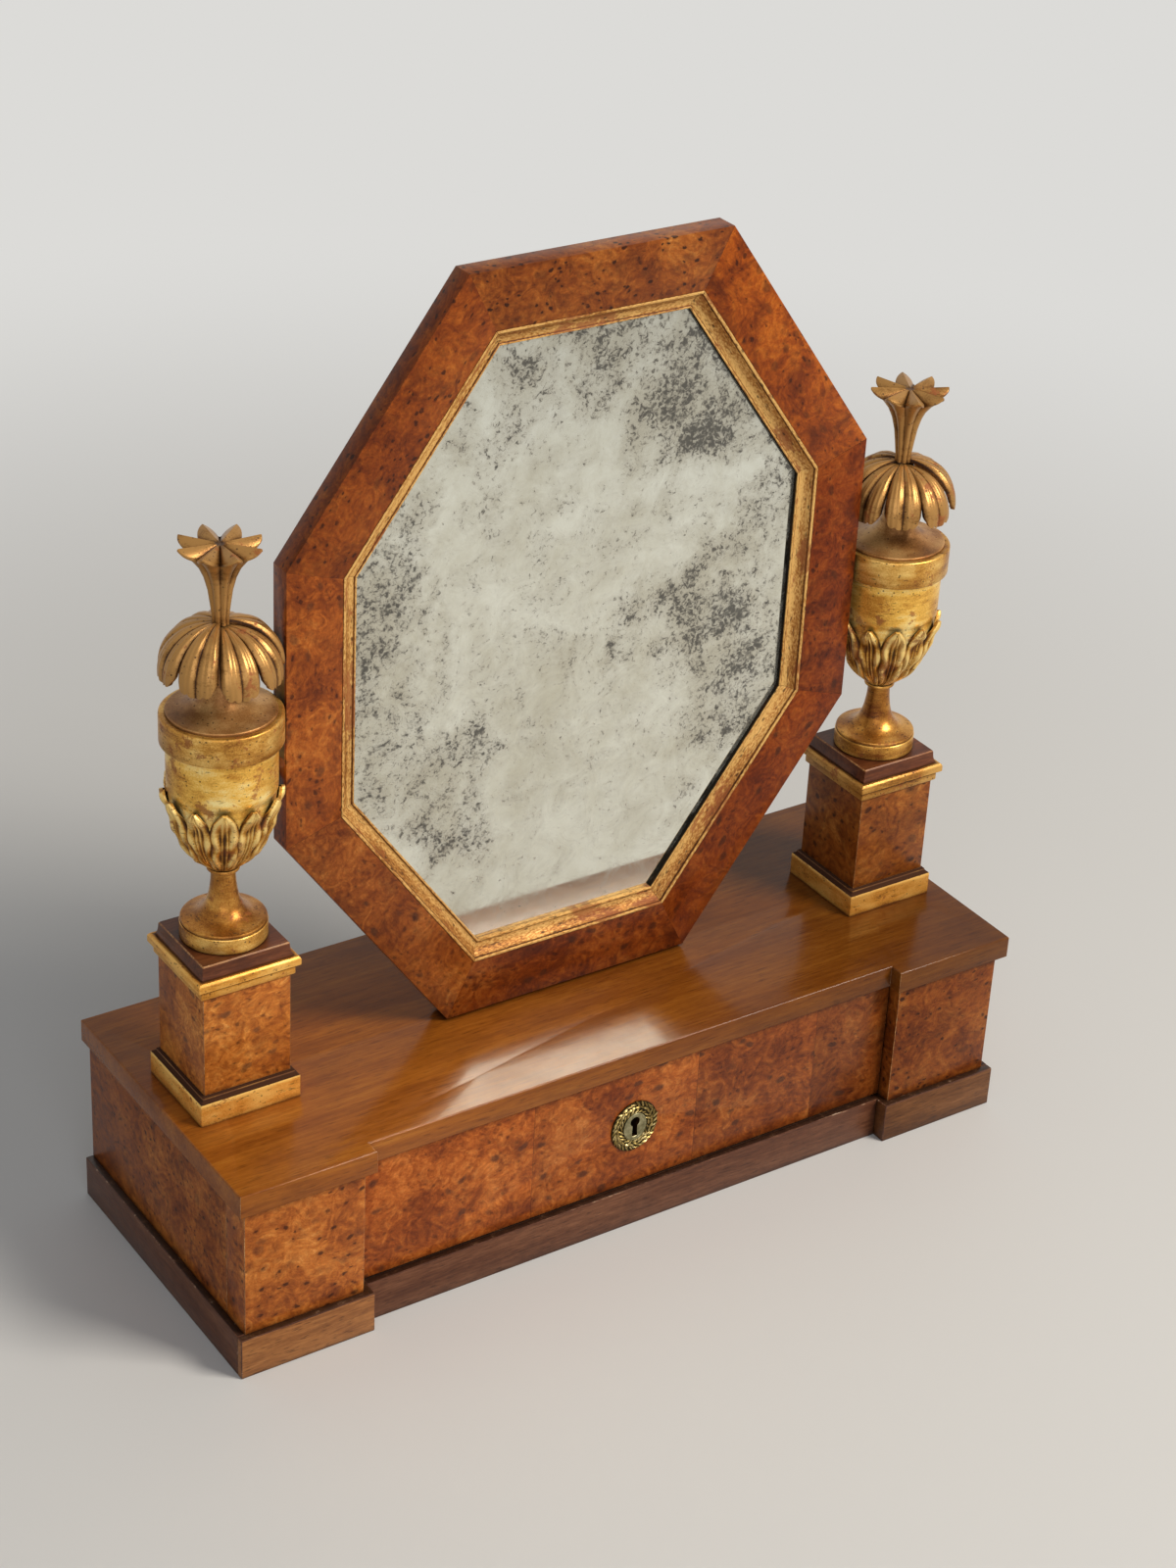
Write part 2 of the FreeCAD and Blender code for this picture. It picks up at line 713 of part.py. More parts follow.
def lid_profile():
    """Spigot, raised bead, dished slope up to the neck, and tenon."""
    dish_low = ("lid_radius - lid_step / 2", "rim_top + lid_step")
    return [
        ("0", "rim_top - lid_spigot_length"), ("lid_spigot_radius", "rim_top - lid_spigot_length"),
        ("lid_spigot_radius", "rim_top"), ("lid_radius", "rim_top"),
        dish_low, *hollow(dish_low, ("neck_radius", "lid_top"), lid_bulge, 3), ("neck_radius", "crown_base"),
        ("tenon_radius", "crown_base"), ("tenon_radius", "crown_base + tenon_length"),
        ("0", "crown_base + tenon_length"),
    ]


def round_axis(radius, height, angle):
    return FreeCAD.Vector(radius * math.cos(angle), radius * math.sin(angle), height)


def faceted(rings, peak=None):
    """A closed solid of flat facets through rings of equally many points.

    A loop of rings comes back to its first one; with a peak the ends are closed by a fan each.
    """
    faces = []

    def facet(*corners):
        faces.append(Part.Face(Part.makePolygon([*corners, corners[0]])))

    count = len(rings[0])
    following = rings[1:] + rings[:1] if peak is None else rings[1:]
    for column in range(count):
        beyond = (column + 1) % count
        for lower, upper in zip(rings, following):
            facet(lower[column], lower[beyond], upper[beyond])
            facet(lower[column], upper[beyond], upper[column])
        if peak is not None:
            facet(FreeCAD.Vector(0, 0, rings[0][0].z), rings[0][beyond], rings[0][column])
            facet(FreeCAD.Vector(0, 0, peak), rings[-1][column], rings[-1][beyond])
    shell = Part.Shell(faces)
    shell.sewShape()
    return Part.Solid(shell)


# Across one palm leaf, from its edge: how far it hangs, in degrees of its turn, and how far it is raised,
# as a share of the leaf's thickness
palm_lobes = ((62, -0.4), (84, 0.2), (80, -0.2), (97, 0.35), (80, -0.2), (84, 0.2))


def palm_ring(share, sink, turn):
    """One ring of the crown, a share of the way from the roots to the tips, sunk below the upper face."""
    spring = value("crown_spring_radius")
    reach = value("rim_radius - crown_setback") - spring
    drop = value("crown_drop")
    ring = []
    columns = crown_leaf_count * len(palm_lobes)
    for column in range(columns):
        hang, lift = palm_lobes[column % len(palm_lobes)]
        sweep = math.radians(hang * share)
        lean = math.atan2(drop * math.sin(sweep), reach * math.cos(sweep))
        raised = lift * value("crown_leaf_thickness") * min(1, 2 * share) - sink
        radius = spring + reach * math.sin(sweep) + raised * math.sin(lean)
        height = value("crown_top") - drop * (1 - math.cos(sweep)) + raised * math.cos(lean)
        angle = math.radians(turn) + 2 * math.pi * (column - len(palm_lobes) / 2) / columns
        ring.append(round_axis(radius, height, angle))
    return ring


def plain_ring(radius, height, columns, turn):
    step = 2 * math.pi / columns
    return [round_axis(radius, height, math.radians(turn) + step * column) for column in range(columns)]


def make_crown(side):
    """Eight three-lobed palm leaves turn over from a hub on the lid's neck; hollow underneath."""
    turn = crown_turn[side]
    columns = crown_leaf_count * len(palm_lobes)
    leaf_start = turn - 180 / crown_leaf_count
    hole = value("tenon_radius") / math.cos(math.pi / columns)
    base = value("crown_base")
    top = value("crown_top")
    thickness = value("crown_leaf_thickness")
    rings = [plain_ring(hole, top, columns, leaf_start),
             plain_ring(value("crown_root_radius"), top, columns, leaf_start)]
    upper_shares = (0.18, 0.46, 0.75, 1)
    under_shares = (0.98, 0.5)
    rings += [palm_ring(share, 0, turn) for share in upper_shares]
    rings += [palm_ring(share, thickness, turn) for share in under_shares]
    rings += [plain_ring(value("neck_radius"), base, columns, leaf_start),
              plain_ring(hole, base, columns, leaf_start)]
    feature = doc.addObject("Part::Feature", f"urn_crown_{side}")
    feature.Shape = faceted(rings)
    return feature


def petal_ring(height, crest, valley, fall, turn):
    """One level of the fluted trumpet: petal crests and, lower by a fall, the valleys between."""
    ring = []
    for column in range(2 * star_petal_count):
        angle = math.radians(turn) + math.pi * column / star_petal_count
        if column % 2:
            ring.append(round_axis(valley, height - fall, angle))
        else:
            ring.append(round_axis(crest, height, angle))
    return ring


def make_finial(side):
    """A fluted stem that opens into a flat star of ridged petals."""
    base = value("crown_top")
    top = base + value("finial_height")
    flare = base + value("finial_stem_height")
    waist = base + value("finial_stem_height") / 2
    root = value("finial_root_radius")
    neck = value("finial_waist_radius")
    mouth = value("finial_mouth_radius")
    flute = value("finial_flute")
    crest = value("star_radius")
    notch = value("star_notch_radius")
    groove = value("star_groove_depth")
    edge = value("star_edge")
    turn = star_turn[side]
    rings = [
        petal_ring(base, root, root - flute, 0, turn),
        petal_ring(waist, neck, neck - flute, 0, turn),
        petal_ring(flare, mouth, mouth - flute, 0, turn),
        petal_ring(top - edge, crest - edge / 2, notch - edge / 2, groove, turn),
        petal_ring(top, crest, notch, groove, turn),
    ]
    tenon_low = value("crown_base + tenon_length")
    tenon = Part.makeCylinder(value("tenon_radius"), base - tenon_low, FreeCAD.Vector(0, 0, tenon_low))
    feature = doc.addObject("Part::Feature", f"urn_finial_{side}")
    feature.Shape = faceted(rings, top).fuse(tenon)
    return feature


def cup_ring(share, tip_lift, edge_lift):
    """One ring of the leaf cup: leaf ribs that run to the tips and the lower valleys between the leaves."""
    low = FreeCAD.Vector(value(cup_low[0]), 0, value(cup_low[1]))
    chord = FreeCAD.Vector(value(cup_high[0]), 0, value(cup_high[1])) - low
    across = FreeCAD.Vector(chord.z, 0, -chord.x)
    valley_share = 0.7
    ring = []
    for column in range(2 * cup_leaf_count):
        along = share * (valley_share if column % 2 else 1)
        point = low + chord * along + across * (2 * cup_bulge * along * (1 - along))
        outward = (across - chord * (2 * cup_bulge * (1 - 2 * along))).normalize()
        point += outward * (edge_lift if column % 2 else tip_lift)
        ring.append(round_axis(point.x, point.z, math.pi * column / cup_leaf_count))
    return ring


def make_leaf_cup(side):
    """Twelve ribbed leaves that lie up the bowl and curl free of it at their tips."""
    flare = value("cup_leaf_flare")
    rib = value("cup_leaf_rib")
    edge = value("cup_leaf_edge")
    root = -value("cup_leaf_root")
    rings = [
        cup_ring(0, 0, 0), cup_ring(0.3, rib, edge), cup_ring(0.65, rib, edge), cup_ring(1, flare, edge),
        cup_ring(1, flare - rib, root), cup_ring(0.8, root, 2 * root),
    ]
    cup = doc.addObject("Part::Feature", f"leaf_cup_{side}")
    cup.Shape = faceted(rings, rings[-1][0].z)
    stand_on_pedestal(cup, side)
    return cup


def make_urn(side):
    """The lathe pieces stand on one axis; the bowl's socket for the pivot faces the mirror."""
    x = mirrored(side, "urn_axis_x")
    keep(f"urn_foot_{side}", turned(f"urn_foot_{side}", foot_profile(), x, "urn_base"))
    bowl = turned(f"urn_bowl_{side}_turning", bowl_profile(), x, "urn_base")
    tenon = rod(f"bowl_tenon_{side}", "tenon_radius", "tenon_length", x, "0", "urn_base + bowl_base", "+z")
    socket = rod(f"bush_socket_{side}", "bush_diameter / 2", "2 * bush_length",
                 mirrored(side, "urn_axis_x - bush_inner"), "0", "pivot_height",
                 "-x" if side == "right" else "+x")
    leafy = joined(f"urn_bowl_{side}_leafy", bowl, make_leaf_cup(side))
    keep(f"urn_bowl_{side}", carved(f"urn_bowl_{side}", leafy, tenon, socket))
    keep(f"urn_lid_{side}", turned(f"urn_lid_{side}", lid_profile(), x, "urn_base"))
    crown = make_crown(side)
    finial = make_finial(side)
    for label, carving in ((f"urn_crown_{side}", crown), (f"urn_finial_{side}", finial)):
        stand_on_pedestal(carving, side)
        keep(label, carving)


def stand_on_pedestal(feature, side):
    bind(feature, {"Placement.Base.x": mirrored(side, "urn_axis_x"), "Placement.Base.z": "urn_base"})


# Swing mirror: eight mitred rails, gilt slip, glass, backboard and pivots
def octagon(inset):
    """The frame's outline about the pivot, drawn in by an inset all round."""
    top_x = f"frame_top_edge / 2 - ({inset}) * top_mitre"
    top_z = f"frame_height / 2 - ({inset})"
    side_x = f"frame_width / 2 - ({inset})"
    side_z = f"frame_side_edge / 2 - ({inset}) * side_mitre"
    quarter = [(top_x, top_z), (side_x, side_z)]
    lower = [(x, f"-({z})") for x, z in reversed(quarter)]
    right = quarter + lower
    return right + [(f"-({x})", z) for x, z in reversed(right)]


def pane(name, inset, front, thickness):
    body = new_body(name, z="pivot_height")
    sketch = sketch_outline(body, "XZ_Plane", octagon(inset), name + "_outline", f"-({front})")
    add_pad(body, sketch, thickness, name + "_pad", reverse=True)
    return keep(name, body)


slope_middle_x = "(frame_width + frame_top_edge) / 4"
slope_middle_z = "(frame_height + frame_side_edge) / 4"

# Each rail: length, mitre at its two ends, turn about Y from the top rail, middle of its outer edge
rails = {
    "top": ("frame_top_edge", "top_mitre", "top_mitre", "0", "0", "frame_height / 2"),
    "upper_right": ("slope_length", "top_mitre", "side_mitre", "slope_angle", slope_middle_x, slope_middle_z),
    "right": ("frame_side_edge", "side_mitre", "side_mitre", "90", "frame_width / 2", "0"),
    "lower_right": ("slope_length", "side_mitre", "top_mitre", "180 deg - slope_angle", slope_middle_x,
                    f"-{slope_middle_z}"),
    "bottom": ("frame_top_edge", "top_mitre", "top_mitre", "180", "0", "-frame_height / 2"),
    "lower_left": ("slope_length", "top_mitre", "side_mitre", "180 deg + slope_angle", f"-{slope_middle_x}",
                   f"-{slope_middle_z}"),
    "left": ("frame_side_edge", "side_mitre", "side_mitre", "270", "-frame_width / 2", "0"),
    "upper_left": ("slope_length", "side_mitre", "top_mitre", "360 deg - slope_angle", f"-{slope_middle_x}",
                   slope_middle_z),
}


def mitred_outline(rail, width):
    length, start_mitre, end_mitre = rail[:3]
    return [
        (f"-({length}) / 2", "0"), (f"({length}) / 2", "0"),
        (f"({length}) / 2 - {width} * {end_mitre}", f"-({width})"),
        (f"-({length}) / 2 + {width} * {start_mitre}", f"-({width})"),
    ]


def rail_sprigs(name, rail):
    """Square-cut brads driven into the rebate wall to hold the backboard in."""
    length, _, _, angle, x, z = rail
    sprigs = []
    depth = "-(rail_width - rebate_width + sprig_reach)"
    for number, share in enumerate((-0.25, 0.25)):
        sprig = doc.addObject("Part::Box", f"sprig_{name}_{number}")
        sprig.Placement = FreeCAD.Placement(FreeCAD.Vector(), FreeCAD.Rotation(FreeCAD.Vector(0, 1, 0), 1))
        along = f"({length}) * {share}"
        bind(sprig, {
            "Length": "sprig_width", "Width": "sprig_width", "Height": "sprig_reach + sprig_hold",
            "Placement.Rotation.Angle": angle,
            "Placement.Base.x": f"({x}) + {along} * cos({angle}) + ({depth}) * sin({angle})",
            "Placement.Base.y": "backboard_back",
            "Placement.Base.z": f"pivot_height + ({z}) - {along} * sin({angle}) + ({depth}) * cos({angle})",
        })
        sprigs.append(sprig)
    return sprigs


def make_rail(name, rail, seats):
    angle, x, z = rail[3:]
    label = f"frame_{name}"
    body = new_body(label + "_rail", x=x, y="frame_front", z=f"pivot_height + ({z})",
                    axis=FreeCAD.Vector(0, 1, 0), angle=angle)
    face = sketch_outline(body, "XZ_Plane", mitred_outline(rail, "rail_width"), label + "_face")
    add_pad(body, face, "slip_depth", label + "_face_pad", reverse=True)
    back_outline = mitred_outline(rail, "(rail_width - rebate_width)")
    back = sketch_outline(body, "XZ_Plane", back_outline, label + "_back")
    add_pad(body, back, "frame_thickness", label + "_back_pad", reverse=True)
    keep(label, carved(label, body, *seats))


def slip_piece(name, rail):
    """A mitred length of gilt moulding: a narrow flat, then a hollow down to the glass."""
    length, start_mitre, end_mitre = (value(text) for text in rail[:3])
    outer = value("rail_width")
    inner = outer + value("slip_width")
    flat = outer + value("slip_fillet")
    depth = value("slip_depth")
    drop = value("slip_drop")

    def end_wire(sign, mitre):
        def corner(inset, sink):
            return FreeCAD.Vector(sign * (length / 2 - inset * mitre), sink, -inset)
        scoop = Part.BezierCurve()
        steepest = corner(flat + (inner - flat) * 0.3, drop * 0.75)
        scoop.setPoles([corner(flat, 0), steepest, corner(inner, drop)])
        straight = [(corner(inner, drop), corner(inner, depth)), (corner(inner, depth), corner(outer, depth)),
                    (corner(outer, depth), corner(outer, 0)), (corner(outer, 0), corner(flat, 0))]
        return Part.Wire([scoop.toShape()] + [Part.LineSegment(*ends).toShape() for ends in straight])

    feature = doc.addObject("Part::Feature", f"slip_{name}")
    feature.Shape = Part.makeLoft([end_wire(-1, start_mitre), end_wire(1, end_mitre)], True, True)
    feature.Placement = FreeCAD.Placement(FreeCAD.Vector(), FreeCAD.Rotation(FreeCAD.Vector(0, 1, 0), 1))
    bind(feature, {
        "Placement.Rotation.Angle": rail[3], "Placement.Base.x": rail[4], "Placement.Base.y": "frame_front",
        "Placement.Base.z": f"pivot_height + ({rail[5]})",
    })
    return feature


def make_pivots():
    """A plate with its pin, let into each side rail; the pin turns in a bush in the urn's rim."""
    plates = []
    bushes = []
    seats = {}
    for side in both_sides:
        outward = "+x" if side == "right" else "-x"
        inward = "-x" if side == "right" else "+x"
        edge = mirrored(side, "frame_width / 2")
        plate = block(f"pivot_plate_{side}",
                      beside(side, "frame_width / 2 - plate_thickness", "plate_thickness"),
                      "-plate_width / 2", "pivot_height - plate_length / 2",
                      "plate_thickness", "plate_width", "plate_length")
        screws = [rod(
            f"plate_screw_{side}_{end}", "plate_screw_diameter / 2", "plate_screw_length", edge, "0",
            f"pivot_height {sign} (plate_length / 2 - plate_screw_inset)", inward)
            for end, sign in (("low", "-"), ("high", "+"))]
        seats[side] = with_screws(f"pivot_plate_{side}", plate, screws)
        pin = rod(f"pivot_pin_{side}", "pin_diameter / 2", "side_gap + bush_setback + bush_length",
                  mirrored(side, "frame_width / 2 - plate_thickness / 2"), "0", "pivot_height", outward)
        plates.append(joined(f"plate_and_pin_{side}", seats[side], pin))
        inner_x = mirrored(side, "urn_axis_x - bush_inner")
        bush = rod(f"bush_{side}", "bush_diameter / 2", "bush_length", inner_x, "0", "pivot_height", inward)
        bore = rod(f"bush_bore_{side}", "pin_diameter / 2 + pin_clearance", "bush_length",
                   inner_x, "0", "pivot_height", inward)
        bushes.append(carved(f"pivot_bush_{side}", bush, bore))
    keep("pivot_plates", together("pivot_plates", plates))
    keep("pivot_bushes", together("pivot_bushes", bushes))
    return seats


def make_mirror():
    seats = make_pivots()
    sprigs = []
    slips = []
    for name, rail in rails.items():
        pair = rail_sprigs(name, rail)
        sprigs += pair
        make_rail(name, rail, pair + [seats[name]] if name in seats else pair)
        slips.append(slip_piece(name, rail))
    keep("back_sprigs", together("back_sprigs", sprigs))
    keep("gilt_slip", together("gilt_slip", slips))
    pane("mirror_glass", "glass_inset", "glass_front", "glass_thickness")
    pane("backboard", "glass_inset", "glass_back", "backboard_thickness")


make_plinth()
make_carcase()
make_drawer()
make_pedestals(make_top())
for side in both_sides:
    make_urn(side)
make_mirror()
doc.recompute()

faults = [thing.Name for thing in doc.Objects if "Invalid" in thing.State or "Error" in thing.State]
for label, piece in pieces.items():
    if piece.Shape.isNull() or not piece.Shape.isValid():
        faults.append(label)
if faults:
    raise RuntimeError("not built: " + ", ".join(faults))

os.makedirs("parts", exist_ok=True)
for label, piece in pieces.items():
    piece.Shape.exportStep(f"parts/{label}.step")
    print(label, len(piece.Shape.Solids), round(piece.Shape.Volume / 1000, 2))
print("sub-parts:", len(pieces))
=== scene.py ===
import json
import math

import bmesh
import bpy
from mathutils import Matrix, Vector, noise


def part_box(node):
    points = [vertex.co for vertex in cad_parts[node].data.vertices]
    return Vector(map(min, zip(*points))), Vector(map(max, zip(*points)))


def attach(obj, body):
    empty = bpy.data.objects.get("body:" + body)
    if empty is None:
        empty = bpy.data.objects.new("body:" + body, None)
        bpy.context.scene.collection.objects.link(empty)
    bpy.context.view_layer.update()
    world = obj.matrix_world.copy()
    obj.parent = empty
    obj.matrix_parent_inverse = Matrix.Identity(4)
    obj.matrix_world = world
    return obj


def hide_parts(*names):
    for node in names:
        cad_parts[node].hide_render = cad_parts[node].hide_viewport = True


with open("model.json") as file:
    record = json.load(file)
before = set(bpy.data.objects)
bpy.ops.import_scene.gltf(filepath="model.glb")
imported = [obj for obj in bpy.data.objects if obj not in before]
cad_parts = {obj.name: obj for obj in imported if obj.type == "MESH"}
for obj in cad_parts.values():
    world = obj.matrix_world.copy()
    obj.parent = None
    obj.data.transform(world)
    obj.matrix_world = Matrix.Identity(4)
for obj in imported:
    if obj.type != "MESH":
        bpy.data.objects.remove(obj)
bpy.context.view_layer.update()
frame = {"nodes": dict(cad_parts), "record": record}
record = frame["record"]
bodyOfNode = {node: body for body, nodes in record["behaviour"]["bodies"].items() for node in nodes}
mm = 0.001
print("frame loaded:", len(bodyOfNode), "nodes")


# colours are sRGB, as a paint chart gives them
def linear(hexCode):
    channels = [int(hexCode[i:i + 2], 16) / 255 for i in (1, 3, 5)]
    return [c / 12.92 if c <= 0.04045 else ((c + 0.055) / 1.055) ** 2.4 for c in channels] + [1.0]


def perMm(period):  # texture scale for a feature of that many millimetres
    return 1000 / period


def feed(tree, node, inputs):  # inputs take a socket or a plain setting
    for key, source in inputs.items():
        if isinstance(source, bpy.types.NodeSocket):
            tree.links.new(source, node.inputs[key])
        else:
            node.inputs[key].default_value = source


def addNode(tree, kind, inputs=None, **settings):
    node = tree.nodes.new(kind)
    for name, setting in settings.items():
        setattr(node, name, setting)
    feed(tree, node, inputs or {})
    return node


def noiseMm(tree, place, size, detail, roughness=0.5, twist=0.0, out="Fac"):
    return addNode(tree, "ShaderNodeTexNoise", {
        "Vector": place, "Scale": perMm(size), "Detail": detail, "Roughness": roughness,
        "Distortion": twist}).outputs[out]


def remap(tree, value, low=0.0, high=1.0, start=0.0, end=1.0, **settings):
    return addNode(tree, "ShaderNodeMapRange", {0: value, 1: low, 2: high, 3: start, 4: end},
                   **settings).outputs[0]


def maths(tree, operation, *values, **settings):
    return addNode(tree, "ShaderNodeMath", dict(enumerate(values)), operation=operation,
                   **settings).outputs[0]


def vectors(tree, operation, *values):
    return addNode(tree, "ShaderNodeVectorMath", dict(enumerate(values)), operation=operation).outputs[0]


def scaled(tree, vector, factor):
    return addNode(tree, "ShaderNodeVectorMath", {0: vector, "Scale": factor}, operation="SCALE").outputs[0]


def mixColour(tree, share, under, over, **settings):
    return addNode(tree, "ShaderNodeMix", {0: share, 6: under, 7: over}, data_type="RGBA",
                   **settings).outputs[2]


def mixValue(tree, share, first, second):
    return addNode(tree, "ShaderNodeMix", {0: share, 2: first, 3: second}).outputs[0]


def toneRamp(tree, value, stops):  # colours at places from 0 to 1
    node = addNode(tree, "ShaderNodeValToRGB", {"Fac": value})
    elements = node.color_ramp.elements
    elements[0].position, elements[-1].position = stops[0][0], stops[-1][0]
    for place, _ in stops[1:-1]:
        elements.new(place)
    for element, (_, colour) in zip(elements, stops):
        element.color = linear(colour)
    return node.outputs["Color"]


def newMaterial(name):
    material = bpy.data.materials.new(name)
    material.use_nodes = True
    return material, material.node_tree, material.node_tree.nodes["Principled BSDF"]


def objectSpace(tree, shift=(0, 0, 0), turn=(0, 0, 0), stretch=(1, 1, 1)):
    coords = addNode(tree, "ShaderNodeTexCoord").outputs["Object"]
    return addNode(tree, "ShaderNodeMapping", {
        "Vector": coords, "Location": shift, "Rotation": turn, "Scale": stretch}).outputs["Vector"]


# Woods
burr = {
    "warpSize": 30, "warpReach": 0.014, "toneSize": 36, "curlSize": 11, "fibreSize": 1.5, "pipSize": 4.2,
    "singleSize": 8.5, "blotSize": 15, "clusterSize": 21, "cloudSize": 17,
    "tones": [(0.33, "#5a2a0e"), (0.44, "#7d4317"), (0.52, "#955721"), (0.60, "#a86c30"),
              (0.70, "#c08a4c")],
    "pip": "#291107", "cloud": "#48200f", "blot": "#43291b", "mottleSize": 1.5,
}


def withCornerShadeAndDust(tree, wood, reach):  # painted shade: ambient occlusion darkens corners and recesses, standing also for old polish and dust a cloth misses there
    corner = addNode(tree, "ShaderNodeAmbientOcclusion", {"Distance": reach * mm}, samples=4).outputs["AO"]
    corner = remap(tree, corner, 0.80, 0.35, end=0.7)
    return mixColour(tree, corner, wood, linear("#1a0c06"))


def burrVeneer(name, shift, turn=(0, 0, 0), joints=(), tint="#ffffff", gain=1.0, eyed=0.5, clouded=0.6,
               crisp=1.0, large=1.0):
    # burr veneer, sliced thin and French-polished: curling figure, knots of dark eyes, a soft even gloss
    material, tree, shader = newMaterial(name)
    place = objectSpace(tree, shift, turn)
    jointMask = None
    if joints:  # leaves of veneer laid side by side: each has its own figure, with a fine dark line between
        own = addNode(tree, "ShaderNodeTexCoord").outputs["Object"]
        along = addNode(tree, "ShaderNodeSeparateXYZ", {0: own}).outputs["X"]
        leaf = None
        for joint in joints:
            beyond = maths(tree, "GREATER_THAN", along, joint)
            leaf = beyond if leaf is None else maths(tree, "ADD", leaf, beyond)
            off = maths(tree, "SUBTRACT", along, joint)
            near = maths(tree, "COMPARE", off, 0.0, 0.00018)
            jointMask = near if jointMask is None else maths(tree, "MAXIMUM", jointMask, near)
        hop = addNode(tree, "ShaderNodeVectorMath", {0: (0.173, 0.0, 0.291), "Scale": leaf},
                      operation="SCALE")
        place = vectors(tree, "ADD", place, hop.outputs[0])
    drift = noiseMm(tree, place, burr["warpSize"], 2.0, out="Color")
    drift = vectors(tree, "SUBTRACT", drift, (0.5, 0.5, 0.5))
    drift = scaled(tree, drift, burr["warpReach"])
    swirl = vectors(tree, "ADD", place, drift)
    tone = noiseMm(tree, swirl, burr["toneSize"], 3.0, 0.5)
    curl = noiseMm(tree, swirl, burr["curlSize"], 4.0, 0.55, 2.2)
    drawn = addNode(tree, "ShaderNodeMapping", {"Vector": swirl, "Scale": (0.3, 1.0, 1.0)}).outputs[0]
    fibre = noiseMm(tree, drawn, burr["fibreSize"], 3.0, 0.6, 1.2)
    figure = mixValue(tree, 0.50, tone, curl)
    figure = mixValue(tree, 0.16, figure, fibre)
    wood = toneRamp(tree, figure, burr["tones"])
    # clouds: soft darker drifts round the knots
    cloud = noiseMm(tree, swirl, burr["cloudSize"], 5.0, 0.6, 0.8)
    cloud = remap(tree, cloud, 0.50, 0.70, end=clouded)
    wood = mixColour(tree, cloud, wood, linear(burr["cloud"]))
    # eyes: crisp dark pips that gather in clusters, and a few by themselves
    cluster = noiseMm(tree, swirl, burr["clusterSize"], 2.0)
    cluster = remap(tree, cluster, 0.60 - 0.3 * eyed, 0.66 - 0.3 * eyed)
    uneven = noiseMm(tree, place, 1.6, 1.0, out="Color")
    uneven = scaled(tree, uneven, 0.0014)
    uneven = vectors(tree, "ADD", swirl, uneven)
    uneven = addNode(tree, "ShaderNodeMapping", {
        "Vector": uneven, "Rotation": (0.0, 0.6, 0.0), "Scale": (0.72, 1.0, 1.1)}).outputs[0]
    cells = addNode(tree, "ShaderNodeTexVoronoi",
                    {"Vector": uneven, "Scale": perMm(burr["pipSize"] * large)})
    pick = addNode(tree, "ShaderNodeSeparateXYZ", {0: cells.outputs["Color"]}).outputs["X"]
    size = remap(tree, pick, 0.3, 1.0, 0.07, 0.33)
    pips = maths(tree, "SUBTRACT", size, cells.outputs["Distance"])
    pips = remap(tree, pips, -0.04, 0.07, end=0.88)
    pips = maths(tree, "MULTIPLY", pips, cluster)
    halo = remap(tree, cells.outputs["Distance"], 0.6, 0.2, end=0.35)
    halo = maths(tree, "MULTIPLY", halo, cluster)
    single = addNode(tree, "ShaderNodeTexVoronoi", {"Vector": uneven, "Scale": perMm(burr["singleSize"])})
    single = remap(tree, single.outputs["Distance"], 0.115, 0.085, end=0.85)
    specks = maths(tree, "MAXIMUM", pips, single)
    specks = maths(tree, "MULTIPLY", specks, crisp)
    # blots: larger soft eyes, drawn out a little
    blots = addNode(tree, "ShaderNodeTexVoronoi", {"Vector": uneven, "Scale": perMm(burr["blotSize"])})
    blots = maths(tree, "MULTIPLY_ADD", curl, -0.25, blots.outputs["Distance"])
    blots = remap(tree, blots, 0.10, 0.0, end=1.15 - 0.8 * crisp)
    wood = mixColour(tree, blots, wood, linear(burr["blot"]))
    wood = mixColour(tree, halo, wood, linear(burr["cloud"]))
    wood = mixColour(tree, specks, wood, linear(burr["pip"]))
    mottle = noiseMm(tree, swirl, burr["mottleSize"], 2.0, 0.7)
    mottle = remap(tree, mottle, 0.3, 0.7, 0.8, 1.2)
    wood = scaled(tree, wood, mottle)
    # painted light: tint and gain make lighter and darker copies of the veneer by where the light falls
    shade = [part * gain for part in linear(tint)[:3]] + [1.0]
    wood = mixColour(tree, 1.0, wood, shade, blend_type="MULTIPLY")
    if jointMask:
        # painted light: the leaves grow darker towards the right, as the light falls off across the drawer
        # front
        darker = remap(tree, leaf, high=len(joints), start=1.2, end=0.57)
        wood = scaled(tree, wood, darker)
        jointMask = maths(tree, "MULTIPLY", jointMask, 0.6)
        wood = mixColour(tree, jointMask, wood, linear("#2b120a"))
    wood = withCornerShadeAndDust(tree, wood, 5)
    ripple = noiseMm(tree, place, 16, 2.0)
    shine = remap(tree, curl, start=0.26, end=0.40)
    height = maths(tree, "MULTIPLY_ADD", specks, -0.35, ripple)
    bump = addNode(tree, "ShaderNodeBump", {"Height": height, "Strength": 0.12,
                                            "Distance": 0.0006}).outputs[0]
    feed(tree, shader, {"Base Color": wood, "Roughness": shine, "Normal": bump, "IOR": 1.5,
                        "Specular IOR Level": 0.14, "Coat Weight": 0.06, "Coat Roughness": 0.14})
    return material


